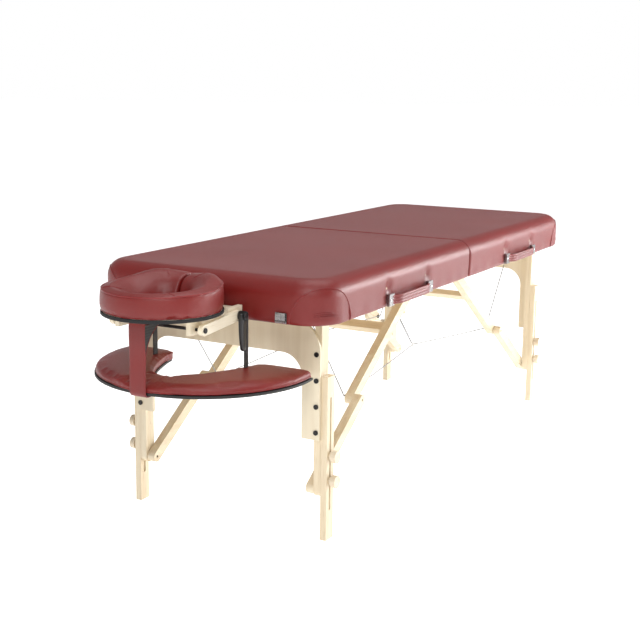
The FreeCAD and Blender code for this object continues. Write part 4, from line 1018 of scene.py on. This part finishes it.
# %% The hanging levers and their ribbed barrels
for tag, hand in HANDS:
    body = "cam_lever_%s_part" % tag
    low, high = box("cam_lever_" + tag)
    middle = (low + high) / 2
    inner, outer = (low[1], high[1]) if hand > 0 else (high[1], low[1])
    t = np.linspace(0, 1, 40)
    height = high[2] - .006 + (low[2] + .0004 - high[2] + .006) * t
    tip = np.sqrt(np.clip(1 - ((t - .93) / .07).clip(0) ** 2 * .9, .02, 1))
    wide, thick = (.0122 - .0030 * t) * tip, (.0072 - .0030 * t) * tip
    bow = -.0030 * np.sin(math.pi * t) + .0024 * t
    turn = full_turn(32)
    round_off = (np.abs(np.cos(turn)) ** 4 + np.abs(np.sin(turn)) ** 4) ** -.25
    centre = outer - hand * .0135
    x = middle[0] + bow[:, None] + wide[:, None] * (np.cos(turn) * round_off)[None]
    y = centre + thick[:, None] * (np.sin(turn) * round_off)[None]
    points = np.stack([x, y, np.broadcast_to(height[:, None], x.shape)], -1)
    lever = tube("lever", points, LEVER, body)
    rise = high[2] - .0125
    barrel_turn = full_turn(96)
    ribs = .0108 + .0009 * np.cos(24 * barrel_turn)
    share, along_bar = np.array([(.55, 0), (1, .0012), (1, .5), (1, .9), (.93, .97), (.6, 1)]).T[..., None]
    y = np.broadcast_to(inner + (outer - inner) * (.03 + .94 * along_bar), (6, 96))
    barrel = np.stack([middle[0] + share * ribs * np.cos(barrel_turn), y,
                       rise + share * ribs * np.sin(barrel_turn)], -1)
    drum = tube("drum", barrel, LEVER, body, smooth=False)
    whole = joined("cam_handle_" + tag, [lever, drum], body)
    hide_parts("cam_lever_" + tag)
    print(whole.name, len(whole.data.polygons), "faces")

# %% [markdown]
# ## Floor, light and camera
# The floor is a plain pale sheet with a faint glow, under a pale sky that is brightest at the
# horizon.  Soft lamps stand in front, above, and far along the near side, where the long wall
# of the pad mirrors one: that gives the leather its broad sheen.

# %% Studio
paper, tree, shader = finish_of("studio_paper", Roughness=.85,
                                Emission_Color=(1, 1, 1, 1), Emission_Strength=.72)
pale = ramp(tree, noise(tree, coordinates(tree), Scale=3.0), (.3, (.90, .90, .90)), (.7, (.93, .93, .93)))
tree.links.new(pale, shader.inputs["Base Color"])
square = 120.0 * np.array([(-1, -1, 0), (1, -1, 0), (1, 1, 0), (-1, 1, 0)])
floor = make("studio_floor", square, [[0, 1, 2, 3]], paper, None, smooth=False)

world = bpy.data.worlds.new("studio")
world.use_nodes = True
sky = world.node_tree
where = sky.nodes.new("ShaderNodeTexCoord")
height = sky.nodes.new("ShaderNodeSeparateXYZ")
sky.links.new(where.outputs["Generated"], height.inputs[0])
shade = ramp(sky, height.outputs["Z"], (.075, (1, 1, 1)), (.15, (.34, .34, .34)), (1, (.40, .40, .40)))
sky.links.new(shade, sky.nodes["Background"].inputs["Color"])
bpy.context.scene.world = world
bpy.context.scene.view_settings.view_transform = "Standard"


def lamp(name, place, target, wide, tall, power):
    """A soft rectangular lamp at place, turned to face target."""
    light = bpy.data.lights.new(name, "AREA")
    light.shape, light.size, light.size_y, light.energy = "RECTANGLE", wide, tall, power
    thing = bpy.data.objects.new(name, light)
    thing.location = place
    thing.rotation_euler = (Vector(target) - Vector(place)).to_track_quat("-Z", "Y").to_euler()
    bpy.context.scene.collection.objects.link(thing)


lamp("side_softbox", (SPLIT + 2.4, MIDDLE - 2.5, 1.15), (SPLIT + .1, MIDDLE - .3, .62), 2.2, .9, 105)
lamp("front_softbox", (SPLIT - 3.0, MIDDLE - 1.2, 2.6), (SPLIT - .6, MIDDLE, .5), 1.6, 1.6, 46)
lamp("top_softbox", (SPLIT + .1, MIDDLE - .3, 3.4), (SPLIT, MIDDLE, .6), 2.4, 2.4, 44)
print("studio ready")

# %% [markdown]
# The camera stands beyond the cradle, a little above the table, and looks along it.

# %% Camera
YAW, PITCH, LEAN = .50175, .20061, .01291
look = np.array([math.cos(PITCH) * math.cos(YAW), math.cos(PITCH) * math.sin(YAW), -math.sin(PITCH)])
right = np.cross(look, (0, 0, 1))
right /= np.linalg.norm(right)
up = np.cross(right, look)
right, up = math.cos(LEAN) * right + math.sin(LEAN) * up, -math.sin(LEAN) * right + math.cos(LEAN) * up
lens = bpy.data.cameras.new("view")
lens.sensor_width, lens.lens = 36.0, 66.26
lens.clip_end = 60.0
camera = bpy.data.objects.new("view", lens)
stand = (SPLIT - 3.35309, MIDDLE - 1.67147, 1.17061)
axes = np.stack([right, up, -look, stand], 1)
camera.matrix_world = Matrix(np.vstack([axes, (0, 0, 0, 1)]).tolist())
bpy.context.scene.collection.objects.link(camera)
bpy.context.scene.camera = camera
